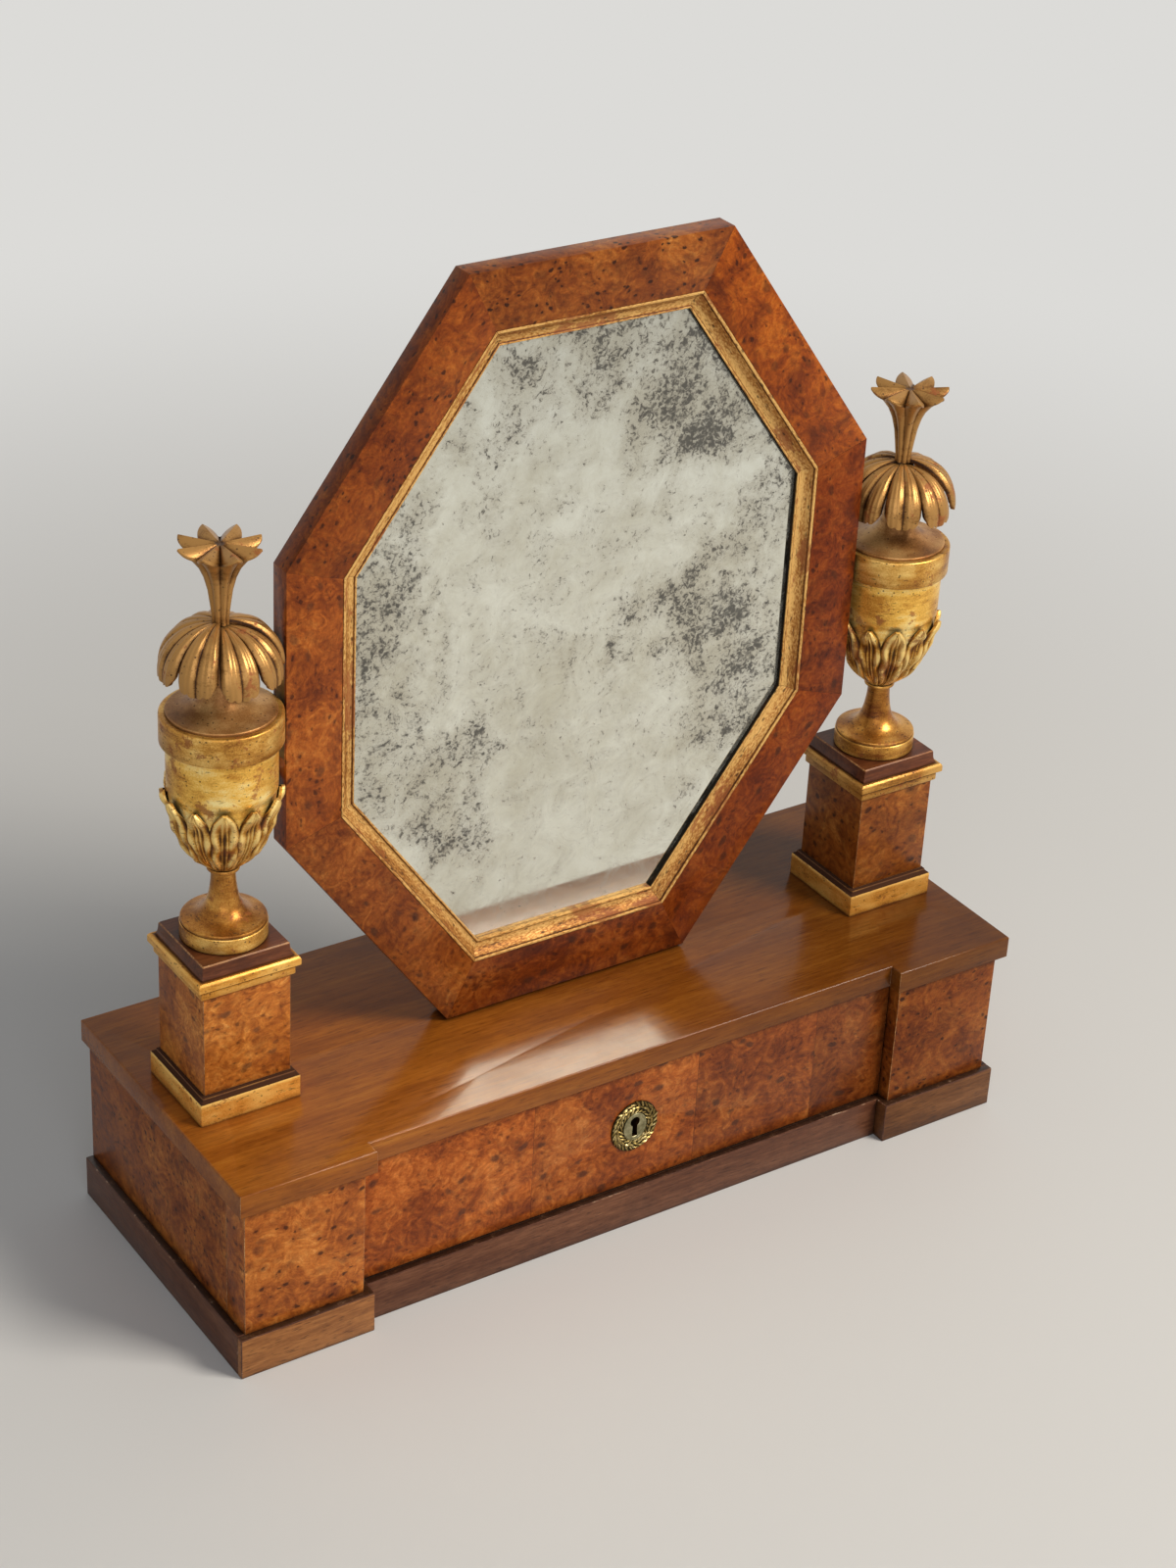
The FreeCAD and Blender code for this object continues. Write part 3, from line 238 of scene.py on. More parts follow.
def plankWood(name, look, alongAxis=0):
    # plain sawn wood: long streaks along the board, fine dark pores, a finish that follows the look
    material, tree, shader = newMaterial(name)
    stretch = [1.0, 1.0, 1.0]
    stretch[alongAxis] = 1 / look["grainLength"]
    place = objectSpace(tree, (0, 0, 0), (0, 0, 0), stretch)
    bend = noiseMm(tree, place, 60, 2.0, out="Color")
    bend = scaled(tree, bend, 0.010)
    grain = vectors(tree, "ADD", place, bend)
    broad = noiseMm(tree, grain, look["bandSize"], 5.0, 0.65)
    fine = noiseMm(tree, grain, look["streakSize"], 4.0, 0.7)
    figure = mixValue(tree, look["streaks"], broad, fine)
    wood = toneRamp(tree, figure, look["tones"])
    pores = noiseMm(tree, grain, 0.9, 1.0)
    pores = remap(tree, pores, 0.60, 0.72, end=look["pores"])
    wood = mixColour(tree, pores, wood, linear(look["poreColour"]))
    stains = noiseMm(tree, objectSpace(tree), 55, 6.0, 0.7)
    stains = remap(tree, stains, 0.50, 0.72, end=look["stains"])
    wood = mixColour(tree, stains, wood, linear(look["stainColour"]))
    if look.get("paintedFalloff"):  # painted light: the board darkens towards its right end, as the light falls off
        along = addNode(tree, "ShaderNodeSeparateXYZ", {0: objectSpace(tree)}).outputs["X"]
        near, far, light, deep = look["paintedFalloff"]
        paintedFalloff = remap(tree, along, near, far, light, deep)
        wood = scaled(tree, wood, paintedFalloff)
    if look.get("ledge"):  # dust and old wax lie on what faces up
        up = addNode(tree, "ShaderNodeNewGeometry").outputs["Normal"]
        up = addNode(tree, "ShaderNodeSeparateXYZ", {0: up}).outputs["Z"]
        dust = noiseMm(tree, objectSpace(tree), 7, 6.0, 0.75)
        dust = toneRamp(tree, dust, look["ledge"])
        up = remap(tree, up, 0.6, 0.9, end=0.9)
        wood = mixColour(tree, up, wood, dust)
    wood = withCornerShadeAndDust(tree, wood, 5)
    shine = remap(tree, fine, start=look["gloss"] - 0.05, end=look["gloss"] + 0.10)
    ripple = noiseMm(tree, objectSpace(tree), look["rippleSize"], 2.0)
    height = maths(tree, "MULTIPLY_ADD", fine, look["grainRelief"], ripple)
    bump = addNode(tree, "ShaderNodeBump", {
        "Height": height, "Strength": look["relief"], "Distance": 0.0006}).outputs[0]
    feed(tree, shader, {"Base Color": wood, "Roughness": shine, "Normal": bump, "IOR": 1.5,
                        "Specular IOR Level": look["specular"], "Coat Weight": look["coat"],
                        "Coat Roughness": 0.10})
    return material


topBoard = dict(  # old solid board, French-polished many times
    grainLength=12, bandSize=22, streakSize=2.6, streaks=0.42, pores=0.45, poreColour="#3f1d08",
    tones=[(0.30, "#6c370d"), (0.46, "#824713"), (0.56, "#935518"), (0.70, "#a76a25")],
    stains=0.35, stainColour="#552a0a", gloss=0.20, rippleSize=9, grainRelief=0.35, relief=0.2,
    specular=0.14, coat=0.12, paintedFalloff=(-0.15, 0.26, 1.06, 0.44),
)
plinthWalnut = dict(  # hand-waxed walnut strips, knocked and dry at the foot
    grainLength=9, bandSize=14, streakSize=2.0, streaks=0.5, pores=0.6, poreColour="#2c140a",
    tones=[(0.32, "#432519"), (0.45, "#57321f"), (0.55, "#67402a"), (0.68, "#7d5238")],
    stains=0.5, stainColour="#351c14", gloss=0.40, rippleSize=8, grainRelief=0.6, relief=0.3,
    specular=0.25, coat=0.05,
    ledge=[(0.38, "#180d07"), (0.54, "#2c190e"), (0.63, "#4b3423"), (0.72, "#8f7a66")],
)
abacusMahogany = dict(  # dense red-brown mahogany, polished
    grainLength=9, bandSize=12, streakSize=1.8, streaks=0.5, pores=0.5, poreColour="#200c06",
    tones=[(0.33, "#38190c"), (0.46, "#532a15"), (0.56, "#69391e"), (0.68, "#83502e")],
    stains=0.45, stainColour="#2a120a", gloss=0.34, rippleSize=10, grainRelief=0.4, relief=0.14,
    specular=0.22, coat=0.06,
)
drawerOak = dict(  # planed oak linings, never polished, greyed by handling
    grainLength=16, bandSize=14, streakSize=2.0, streaks=0.6, pores=0.7, poreColour="#5b3f24",
    tones=[(0.30, "#7d5a36"), (0.46, "#a07a4c"), (0.58, "#b58f5f"), (0.72, "#c9a676")],
    stains=0.3, stainColour="#6a4a2c", gloss=0.62, rippleSize=9, grainRelief=0.8, relief=0.3,
    specular=0.3, coat=0.0,
)
carcasePine = dict(  # resinous softwood for what is never seen, darkened by age
    grainLength=18, bandSize=9, streakSize=2.4, streaks=0.45, pores=0.3, poreColour="#5a3a1c",
    tones=[(0.30, "#6b4522"), (0.46, "#8d6234"), (0.58, "#a37842"), (0.72, "#b98f58")],
    stains=0.5, stainColour="#523418", gloss=0.70, rippleSize=9, grainRelief=0.9, relief=0.35,
    specular=0.3, coat=0.0,
)
arrisLook = dict(  # edges rubbed through the polish to paler wood, with a painted highlight where light catches the arris
    grainLength=6, bandSize=9, streakSize=1.4, streaks=0.5, pores=0.4, poreColour="#4a2a12",
    tones=[(0.34, "#5e3013"), (0.46, "#84502a"), (0.56, "#ab7a48"), (0.68, "#d4ab78")],
    stains=0.7, stainColour="#4a2410", gloss=0.45, rippleSize=9, grainRelief=0.5, relief=0.2,
    specular=0.3, coat=0.0,
)

# Gilding and metals
giltLooks = {
    "bright": dict(deep="#bb7f2f", gold="#f1be58", pale="#ffe8a0", wear=0.165, metal=0.64, rough=0.32),
    "leaf": dict(deep="#8a561e", gold="#c8933d", pale="#f2cf80", wear=0.165, metal=0.64, rough=0.32),
    # painted shade: a darker copy of the moulding gilding, for the right pedestal's cap
    "dull": dict(deep="#6b3f16", gold="#a5712d", pale="#c8984e", wear=0.14, metal=0.45, rough=0.40),
    "warm": dict(deep="#7f4a1b", gold="#c89140", pale="#f2c975", wear=0.14, metal=0.66, rough=0.34),
    "moulding": dict(deep="#8b521a", gold="#cf8f38", pale="#e6b25c", wear=0.13, metal=0.45, rough=0.40),
    # painted light: a lighter copy of the moulding gilding, for the left pedestal's foot
    "skirtPaintedLit": dict(deep="#98591d", gold="#e19c40", pale="#f6c468", wear=0.13, metal=0.45, rough=0.40),
    "foot": dict(deep="#693814", gold="#a06929", pale="#cf994a", wear=0.13, metal=0.66, rough=0.30),
    "bronze": dict(deep="#361d0b", gold="#704a20", pale="#ae8148", wear=0.14, metal=0.6, rough=0.34,
                   scratch=0.2, hollow=0.6),
    "lid": dict(deep="#734823", gold="#a3713e", pale="#cb9d62", wear=0.11, metal=0.45, rough=0.40,
                scratch=0.25),
    "slip": dict(deep="#5f3515", gold="#a87032", pale="#dcae66", wear=0.18, metal=0.36, rough=0.5,
                 scratch=0.8, grain=0.45),
}
leafGold = {
    "bole": "#8d4c25", "shadeAndDirt": "#26150a", "broadSize": 24, "streakSize": 5.5, "grainSize": 0.9,
    "wearSize": 15, "pitSize": 4.2,
}


def gilding(name, look, bare=None, shift=(0, 0, 0), run=None):
    # water gilding: gold leaf on red clay over gesso. It glows where whole, is red and matt where rubbed,
    # paler on the ridges that hands touch, and darker in the hollows: dirt there, with painted shade from
    # ambient occlusion
    look = giltLooks[look]
    material, tree, shader = newMaterial(name)
    place = objectSpace(tree, shift)
    if run:  # marks follow the moulding
        place = addNode(tree, "ShaderNodeAttribute", attribute_name=run).outputs["Vector"]
        place = addNode(tree, "ShaderNodeMapping",
                        {"Vector": place, "Scale": (0.4, 1.0, 1.0)}).outputs["Vector"]
    turned = (0.3, 1.0, 1.0) if run else (0.22, 0.22, 1.0)  # fine marks go round the turning
    turned = addNode(tree, "ShaderNodeMapping", {"Vector": place, "Scale": turned}).outputs["Vector"]
    broad = noiseMm(tree, place, leafGold["broadSize"], 3.0, 0.5)
    streak = noiseMm(tree, turned, leafGold["streakSize"], 5.0, 0.65)
    grain = noiseMm(tree, place, leafGold["grainSize"], 2.0, 0.6)
    tone = mixValue(tree, 0.45, broad, streak)
    tone = mixValue(tree, look.get("grain", 0.2), tone, grain)
    relief = addNode(tree, "ShaderNodeAttribute", attribute_name="relief").outputs["Fac"]
    tone = maths(tree, "MULTIPLY_ADD", relief, 0.15, tone)
    colour = toneRamp(tree, tone, [(0.38, look["deep"]), (0.49, look["gold"]), (0.61, look["pale"])])
    wide = noiseMm(tree, place, leafGold["wearSize"], 9.0, 0.72)
    rubbed = remap(tree, wide, 0.72 - look["wear"], 0.76 - look["wear"], end=0.75)
    colour = mixColour(tree, rubbed, colour, linear(leafGold["bole"]))
    scratch = noiseMm(tree, turned, 1.6, 3.0, 0.7)
    scratch = remap(tree, scratch, 0.61, 0.68, end=look.get("scratch", 0.6))
    pits = addNode(tree, "ShaderNodeTexVoronoi", {
        "Vector": place, "Scale": perMm(leafGold["pitSize"])}).outputs["Distance"]
    pits = remap(tree, pits, 0.17, 0.10, end=0.75)
    scratch = maths(tree, "MAXIMUM", scratch, pits)
    # painted shade: ambient occlusion and sunk relief darken hollows and grooves; the scratches and pits
    # are real marks
    hollow = addNode(tree, "ShaderNodeAmbientOcclusion", {"Distance": 0.007}, samples=6).outputs["AO"]
    hollow = remap(tree, hollow, 0.72, 0.30, end=look.get("hollow", 0.85))
    sunk = remap(tree, relief, -0.25, -1.0, end=0.8)
    hollow = maths(tree, "MAXIMUM", hollow, sunk)
    hollow = maths(tree, "MAXIMUM", hollow, scratch)
    colour = mixColour(tree, hollow, colour, linear(leafGold["shadeAndDirt"]))
    worn = maths(tree, "MAXIMUM", rubbed, hollow)
    metal = remap(tree, worn, start=look["metal"], end=0.08)
    rough = remap(tree, worn, start=look["rough"], end=0.62)
    height = maths(tree, "MULTIPLY_ADD", streak, 0.5, wide)
    height = maths(tree, "MULTIPLY_ADD", grain, 0.3, height)
    bump = addNode(tree, "ShaderNodeBump", {"Height": height, "Strength": 0.35,
                                            "Distance": 0.0006}).outputs[0]
    if bare:  # upper ledges that were never gilt
        up = addNode(tree, "ShaderNodeNewGeometry").outputs["Normal"]
        up = addNode(tree, "ShaderNodeSeparateXYZ", {0: up}).outputs["Z"]
        up = remap(tree, up, 0.35, 0.55)
        colour = mixColour(tree, up, colour, linear(bare))
        metal = maths(tree, "SUBTRACT", metal, up, use_clamp=True)
        rough = maths(tree, "MAXIMUM", rough, up)
    feed(tree, shader, {"Base Color": colour, "Metallic": metal, "Roughness": rough, "Normal": bump,
                        "Specular IOR Level": 0.25})
    return material


def oldMetal(name, colours, roughness, pitSize):
    # hand-filed metal that has tarnished: brown in the low spots, brighter where it is touched
    material, tree, shader = newMaterial(name)
    place = objectSpace(tree)
    tarnish = noiseMm(tree, place, pitSize, 6.0, 0.7)
    colour = toneRamp(tree, tarnish, colours)
    hollow = addNode(tree, "ShaderNodeAmbientOcclusion", {"Distance": 0.003}, samples=6).outputs["AO"]
    hollow = remap(tree, hollow, 0.6, 0.2, end=0.8)
    colour = mixColour(tree, hollow, colour, linear("#1b1008"))
    rough = remap(tree, tarnish, start=roughness + 0.12, end=roughness - 0.10)
    bump = addNode(tree, "ShaderNodeBump", {"Height": tarnish, "Strength": 0.25,
                                            "Distance": 0.0003}).outputs[0]
    feed(tree, shader, {"Base Color": colour, "Roughness": rough, "Normal": bump, "Metallic": 0.85})
    return material


# Old looking-glass
foxing = {
    # lost silvering, in mm from the middle of the glass: across, up, half width, half height, strength
    "stains": [(-132, 40, 40, 126, 0.85), (-56, 138, 54, 40, 0.72), (80, 128, 60, 66, 1.05),
               (92, 8, 46, 40, 1.0), (112, -54, 54, 66, 0.9), (-80, -56, 38, 46, 0.85),
               (-90, -112, 40, 38, 0.85), (-128, -50, 32, 60, 0.7), (40, 10, 30, 38, 0.72),
               (10, 184, 96, 44, 0.9), (132, 70, 28, 76, 0.8), (-20, -40, 30, 34, 0.45),
               (0, 0, 150, 190, 0.36)],
    "cloudSize": 52, "wispSize": 19, "grainSize": 3.0, "raggedSize": 55, "raggedReach": 0.2,
    "silver": "#dfe0d4", "breath": "#c5c2b0", "brown": "#6b5843", "black": "#1b1b18",
}


def foxedSilver():
    # tin-mercury silvering behind thin glass: it still mirrors, with wispy beige, brown and black specks
    material, tree, shader = newMaterial("mercury_silvered_glass_foxed")
    own = addNode(tree, "ShaderNodeTexCoord").outputs["Object"]
    own = addNode(tree, "ShaderNodeMapping",
                  {"Vector": own, "Location": (0, 0, -mirror["pivot"] * mm)}).outputs[0]
    # the stains have ragged edges
    ragged = noiseMm(tree, own, foxing["raggedSize"], 6.0, 0.62, out="Color")
    ragged = vectors(tree, "SUBTRACT", ragged, (0.5, 0.5, 0.5))
    ragged = scaled(tree, ragged, foxing["raggedReach"])
    ragged = vectors(tree, "ADD", own, ragged)
    reach = None
    for across, up, halfWide, halfHigh, strength in foxing["stains"]:
        size = (1 / (halfWide * mm), 0.0, 1 / (halfHigh * mm))
        middle = (-across / halfWide, 0, -up / halfHigh)
        spot = addNode(tree, "ShaderNodeMapping", {
            "Vector": ragged, "Location": middle, "Scale": size}).outputs[0]
        far = addNode(tree, "ShaderNodeVectorMath", {0: spot}, operation="LENGTH").outputs["Value"]
        stain = remap(tree, far, 1.45, 0.1, 0.0, strength, interpolation_type="SMOOTHSTEP")
        reach = stain if reach is None else maths(tree, "MAXIMUM", reach, stain)
    cloud = noiseMm(tree, own, foxing["cloudSize"], 8.0, 0.68)
    wisp = noiseMm(tree, own, foxing["wispSize"], 8.0, 0.72, 1.1)
    grain = noiseMm(tree, own, foxing["grainSize"], 7.0, 0.72, 0.6)
    # breath: a beige veil; rot: specks that crowd together where the stains are
    breath = maths(tree, "MULTIPLY_ADD", reach, 0.16, cloud)
    breath = remap(tree, breath, 0.44, 0.70, end=0.85)
    cover = maths(tree, "MULTIPLY_ADD", reach, 0.42, wisp)
    cover = remap(tree, cover, 0.50, 1.0)
    rot = maths(tree, "MULTIPLY_ADD", cover, 0.31, grain)
    rot = remap(tree, rot, 0.63, 0.80, end=0.92)
    smoke = maths(tree, "MULTIPLY", cover, 0.44)
    rot = maths(tree, "MAXIMUM", rot, smoke)
    silver = mixColour(tree, breath, linear(foxing["silver"]), linear(foxing["breath"]))
    dark = mixColour(tree, rot, linear(foxing["brown"]), linear(foxing["black"]))
    colour = mixColour(tree, rot, silver, dark)
    rough = maths(tree, "MULTIPLY_ADD", breath, 0.12, rot)
    rough = remap(tree, rough, start=0.04, end=0.40)
    metal = remap(tree, rot, start=1.0, end=0.3)
    feed(tree, shader, {"Base Color": colour, "Metallic": metal, "Roughness": rough, "Coat Weight": 0.5,
                        "Coat Roughness": 0.02})
    return material


woodTop = plankWood("polished_solid_top_wood", topBoard)
woodPlinth = plankWood("waxed_walnut_plinth", plinthWalnut)
# painted light: a lighter copy of the plinth walnut for the left block and a darker one for the right
woodPlinthPaintedLit = plankWood("waxed_walnut_plinth_painted_lit", dict(
    plinthWalnut, tones=[(0.32, "#6a3f1c"), (0.45, "#85532a"), (0.55, "#986334"), (0.68, "#b07a48")]))
woodPlinthPaintedShade = plankWood("waxed_walnut_plinth_painted_shade", dict(
    plinthWalnut, tones=[(0.32, "#43240f"), (0.45, "#583316"), (0.55, "#68401f"), (0.68, "#80532f")]))
woodPlinthSide = plankWood("waxed_walnut_plinth_ends", plinthWalnut, alongAxis=1)
woodAbacus = plankWood("polished_mahogany", abacusMahogany)
woodOak = plankWood("planed_oak_linings", drawerOak)
woodOakSide = plankWood("planed_oak_sides", drawerOak, alongAxis=1)
woodPine = plankWood("aged_pine", carcasePine)
woodPineUp = plankWood("aged_pine_backboard", carcasePine, alongAxis=2)
woodArris = plankWood("rubbed_and_painted_highlight_arris_wood", arrisLook)
# the plinth's rubbed edges: dark wood with pale flecks, partly wear and partly painted highlight
woodArrisDark = plankWood("rubbed_and_painted_highlight_plinth_arris", dict(
    arrisLook, tones=[(0.40, "#3c2116"), (0.54, "#5c3826"), (0.60, "#8c6a50"), (0.66, "#e0c8ae")]))
# painted shade: the front rail seen in the gap under the drawer front is near black
woodRailPaintedShade = plankWood("inner_rail_painted_shade", dict(plinthWalnut, tones=[(0.35, "#150b06"), (0.6, "#3a2212")]))
goldUrn = gilding("water_gilt_wood_urn", "bright")
goldLeaf = gilding("water_gilt_cup_leaves", "leaf")
goldTurned = gilding("water_gilt_turning_toned", "warm", shift=(0.2, 0.1, 0.4))
goldCarved = gilding("water_gilt_carving_bronzed", "bronze", shift=(0.5, 0.3, 0.1))
goldLid = gilding("worn_lid_gilding", "lid", shift=(0.3, 0.1, 0.6))
goldBase = gilding("water_gilt_urn_foot", "foot", shift=(0.7, 0.2, 0.6))
goldMoulding = gilding("water_gilt_moulding", "moulding")
goldSlip = gilding("water_gilt_slip_worn", "slip", run="run")
goldMouldingPaintedShade = gilding("water_gilt_moulding_painted_shade", "dull")
goldFoot = gilding("water_gilt_foot_moulding", "skirtPaintedLit", bare="#3d2211")
goldFootPaintedShade = gilding("water_gilt_foot_moulding_painted_shade", "moulding", bare="#3d2211")
brassGilt = oldMetal("fire_gilt_brass_aged", [(0.30, "#5c4d26"), (0.48, "#957f48"), (0.66, "#d0b982")],
                     0.36, 3)
brassField = oldMetal("rubbed_gilt_brass", [(0.30, "#5b5539"), (0.50, "#8d8663"), (0.70, "#b7b08c")],
                      0.42, 5)
# painted shade: the dark bed between the wreath's leaves
brassBed = oldMetal("dark_brass_bed_painted_shade", [(0.30, "#171206"), (0.50, "#2e2711"), (0.70, "#4d4320")], 0.55, 3)
brassDull = oldMetal("dull_brass", [(0.30, "#6b4f22"), (0.50, "#8f6f34"), (0.70, "#b08d4a")], 0.42, 8)
ironDark = oldMetal("hand_forged_iron", [(0.30, "#1f1a17"), (0.50, "#37302b"), (0.70, "#544a42")], 0.55, 4)
# painted shade: near-black wood for the inside of the keyhole
keyholeShade = plankWood("painted_shade_in_keyhole",
                     dict(carcasePine, tones=[(0.3, "#060302"), (0.7, "#120a06")], specular=0.0))
# near black: dark joints at the frame's mitres, and painted shade under the board's overhang and on the
# slip's right inner edge
darkJointAndShade = plankWood("dark_joint_and_painted_shade_edge",
                     dict(carcasePine, tones=[(0.3, "#0c0d09"), (0.7, "#1c1d15")], specular=0.1))
print("materials ready:", len(bpy.data.materials))


# Shared mesh work
def meshObject(bm, name, materials=()):
    mesh = bpy.data.meshes.new(name)
    bm.to_mesh(mesh)
    bm.free()
    for material in materials:
        mesh.materials.append(material)
    piece = bpy.data.objects.new(name, mesh)
    bpy.context.collection.objects.link(piece)
    return piece


def finishPiece(bm, name, materials, node, sharp=32, recalc=True):
    bmesh.ops.remove_doubles(bm, verts=bm.verts, dist=1e-6)
    if recalc:
        bmesh.ops.recalc_face_normals(bm, faces=bm.faces)
    for face in bm.faces:
        face.smooth = True
    for edge in bm.edges:
        edge.smooth = not edge.is_manifold or edge.calc_face_angle(0) < math.radians(sharp)
    piece = meshObject(bm, name, materials)
    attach(piece, bodyOfNode[node])
    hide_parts(node)
    return piece


def eased(node, material, width=0.4, segments=2, arris=None, seam=None):
    # the CAD piece with its arrises planed off; arris is the material of the bevelled edges, and seam a
    # direction along which the piece meets its neighbour with a dark line
    bm = bmesh.new()
    bm.from_mesh(frame["nodes"][node].data)
    bmesh.ops.remove_doubles(bm, verts=bm.verts, dist=2e-6)
    bmesh.ops.dissolve_limit(bm, angle_limit=math.radians(1), verts=bm.verts, edges=bm.edges)
    arrises = [edge for edge in bm.edges if edge.is_manifold and edge.calc_face_angle(0) > math.radians(35)]
    made = bmesh.ops.bevel(bm, geom=arrises, offset=width * mm, segments=segments, profile=0.5,
                           affect="EDGES", clamp_overlap=True)
    bm.normal_update()
    if arris:
        for face in made["faces"]:
            face.material_index = 2 if seam and abs(face.normal.dot(seam)) > 0.2 else 1
    looks = [material, arris, darkJointAndShade] if seam else [material, arris] if arris else [material]
    return finishPiece(bm, node + "_eased", looks, node, recalc=False)


def curveThrough(points, steps):  # smooth line through turning points
    line = []
    for i in range(len(points) - 1):
        before = Vector(points[max(i - 1, 0)])
        start, end = Vector(points[i]), Vector(points[i + 1])
        after = Vector(points[min(i + 2, len(points) - 1)])
        square = 2 * before - 5 * start + 4 * end - after
        cube = 3 * start - before - 3 * end + after
        for step in range(steps):
            t = step / steps
            line.append(0.5 * (2 * start + (end - before) * t + square * t ** 2 + cube * t ** 3))
    return line + [Vector(points[-1])]


def ringFaces(bm, rings, closeEnds=True):  # skin over rings of equally many points
    count = len(rings[0])
    layers = [[bm.verts.new(point) for point in ring] for ring in rings]
    for lower, upper in zip(layers, layers[1:]):
        for i in range(count):
            bm.faces.new((lower[i], lower[(i + 1) % count], upper[(i + 1) % count], upper[i]))
    if closeEnds:
        bm.faces.new(layers[0][::-1])
        bm.faces.new(layers[-1])
    return layers


def latheRings(profile, centre, segments=96, shake=0.08):
    rings = []
    for radius, height in profile:
        ring = []
        for i in range(segments):
            angle = 2 * math.pi * i / segments
            point = Vector((radius * math.cos(angle), radius * math.sin(angle), height))
            wobble = noise.noise(point * 0.11 + centre * 90) * shake
            point.xy *= 1 + wobble / max(radius, 6)
            ring.append(centre + point * mm)
        rings.append(ring)
    return rings


def joinObjects(pieces):  # several meshes in one, with their materials
    bm = bmesh.new()
    bm.verts.layers.float.new("relief")
    materials = []
    for piece in pieces:
        mesh = piece.data
        start = len(bm.faces)
        bm.from_mesh(mesh)
        bm.faces.ensure_lookup_table()
        for face in bm.faces[start:]:
            one = mesh.materials[face.material_index]
            if one not in materials:
                materials.append(one)
            face.material_index = materials.index(one)
        bpy.data.objects.remove(piece)
    return bm, materials


# Geometry Nodes: carved leaves repeated round an axis, or along an oval
def openTree(name, sockets):
    tree = bpy.data.node_groups.new(name, "GeometryNodeTree")
    for socket, kind in sockets.items():
        tree.interface.new_socket(name=socket, in_out="INPUT", socket_type="NodeSocket" + kind)
    tree.interface.new_socket(name="Geometry", in_out="OUTPUT", socket_type="NodeSocketGeometry")
    given = addNode(tree, "NodeGroupInput").outputs
    leaf = addNode(tree, "GeometryNodeObjectInfo", {"Object": given["Leaf"]}).outputs["Geometry"]
    return tree, given, leaf


def closeTree(tree, given, copies, turn=(0, 0, 0)):
    solid = addNode(tree, "GeometryNodeRealizeInstances", {0: copies}).outputs[0]
    moved = addNode(tree, "GeometryNodeTransform", {
        "Geometry": solid, "Rotation": turn, "Translation": given["Centre"]}).outputs[0]
    gilt = addNode(tree, "GeometryNodeSetMaterial",
                   {"Geometry": moved, "Material": given["Gilding"]}).outputs[0]
    addNode(tree, "NodeGroupOutput", {"Geometry": gilt})
    return tree


def ringTree():
    tree, given, leaf = openTree("leaves_round_axis", {
        "Leaf": "Object", "Count": "Int", "Turn": "Float", "Uneven": "Float", "Seed": "Int",
        "Centre": "Vector", "Gilding": "Material"})
    points = addNode(tree, "GeometryNodePoints", {"Count": given["Count"]}).outputs[0]
    index = addNode(tree, "GeometryNodeInputIndex").outputs[0]
    step = maths(tree, "DIVIDE", 2 * math.pi, given["Count"])
    angle = maths(tree, "MULTIPLY_ADD", index, step, given["Turn"])
    slip = addNode(tree, "FunctionNodeRandomValue", {2: -1, 3: 1, "Seed": given["Seed"]},
                   data_type="FLOAT").outputs[1]
    angle = maths(tree, "MULTIPLY_ADD", slip, given["Uneven"], angle)
    euler = addNode(tree, "ShaderNodeCombineXYZ", {"Z": angle}).outputs[0]
    turn = addNode(tree, "FunctionNodeEulerToRotation", {0: euler}).outputs[0]
    size = maths(tree, "MULTIPLY_ADD", slip, given["Uneven"], 1.0)
    copies = addNode(tree, "GeometryNodeInstanceOnPoints", {
        "Points": points, "Instance": leaf, "Rotation": turn, "Scale": size}).outputs[0]
    return closeTree(tree, given, copies)


def wreathTree():
    tree, given, leaf = openTree("leaves_round_oval", {
        "Leaf": "Object", "Count": "Int", "Half Width": "Float", "Half Height": "Float", "Seed": "Int",
        "Centre": "Vector", "Gilding": "Material"})
    circle = addNode(tree, "GeometryNodeCurvePrimitiveCircle", {"Resolution": 96, "Radius": 1.0}).outputs[0]
    shape = addNode(tree, "ShaderNodeCombineXYZ", {
        "X": given["Half Width"], "Y": given["Half Height"], "Z": 1.0}).outputs[0]
    oval = addNode(tree, "GeometryNodeTransform", {"Geometry": circle, "Scale": shape}).outputs[0]
    spots = addNode(tree, "GeometryNodeCurveToPoints", {"Curve": oval, "Count": given["Count"]},
                    mode="COUNT").outputs
    size = addNode(tree, "FunctionNodeRandomValue", {
        2: 0.85, 3: 1.15, "Seed": given["Seed"]}, data_type="FLOAT").outputs[1]
    facing = addNode(tree, "FunctionNodeAlignRotationToVector", {"Vector": spots["Tangent"]}, axis="X",
                     pivot_axis="Z").outputs[0]
    twist = addNode(tree, "FunctionNodeRandomValue", {
        0: (-0.25, -0.12, -0.4), 1: (0.25, 0.12, 0.4), "Seed": given["Seed"]},
                    data_type="FLOAT_VECTOR").outputs[0]
    facing = addNode(tree, "FunctionNodeRotateRotation", {0: facing, 1: twist},
                     rotation_space="LOCAL").outputs[0]
    copies = addNode(tree, "GeometryNodeInstanceOnPoints", {
        "Points": spots[0], "Instance": leaf, "Rotation": facing, "Scale": size}).outputs[0]
    return closeTree(tree, given, copies, (math.pi / 2, 0, 0))


ringNodes = ringTree()
wreathNodes = wreathTree()


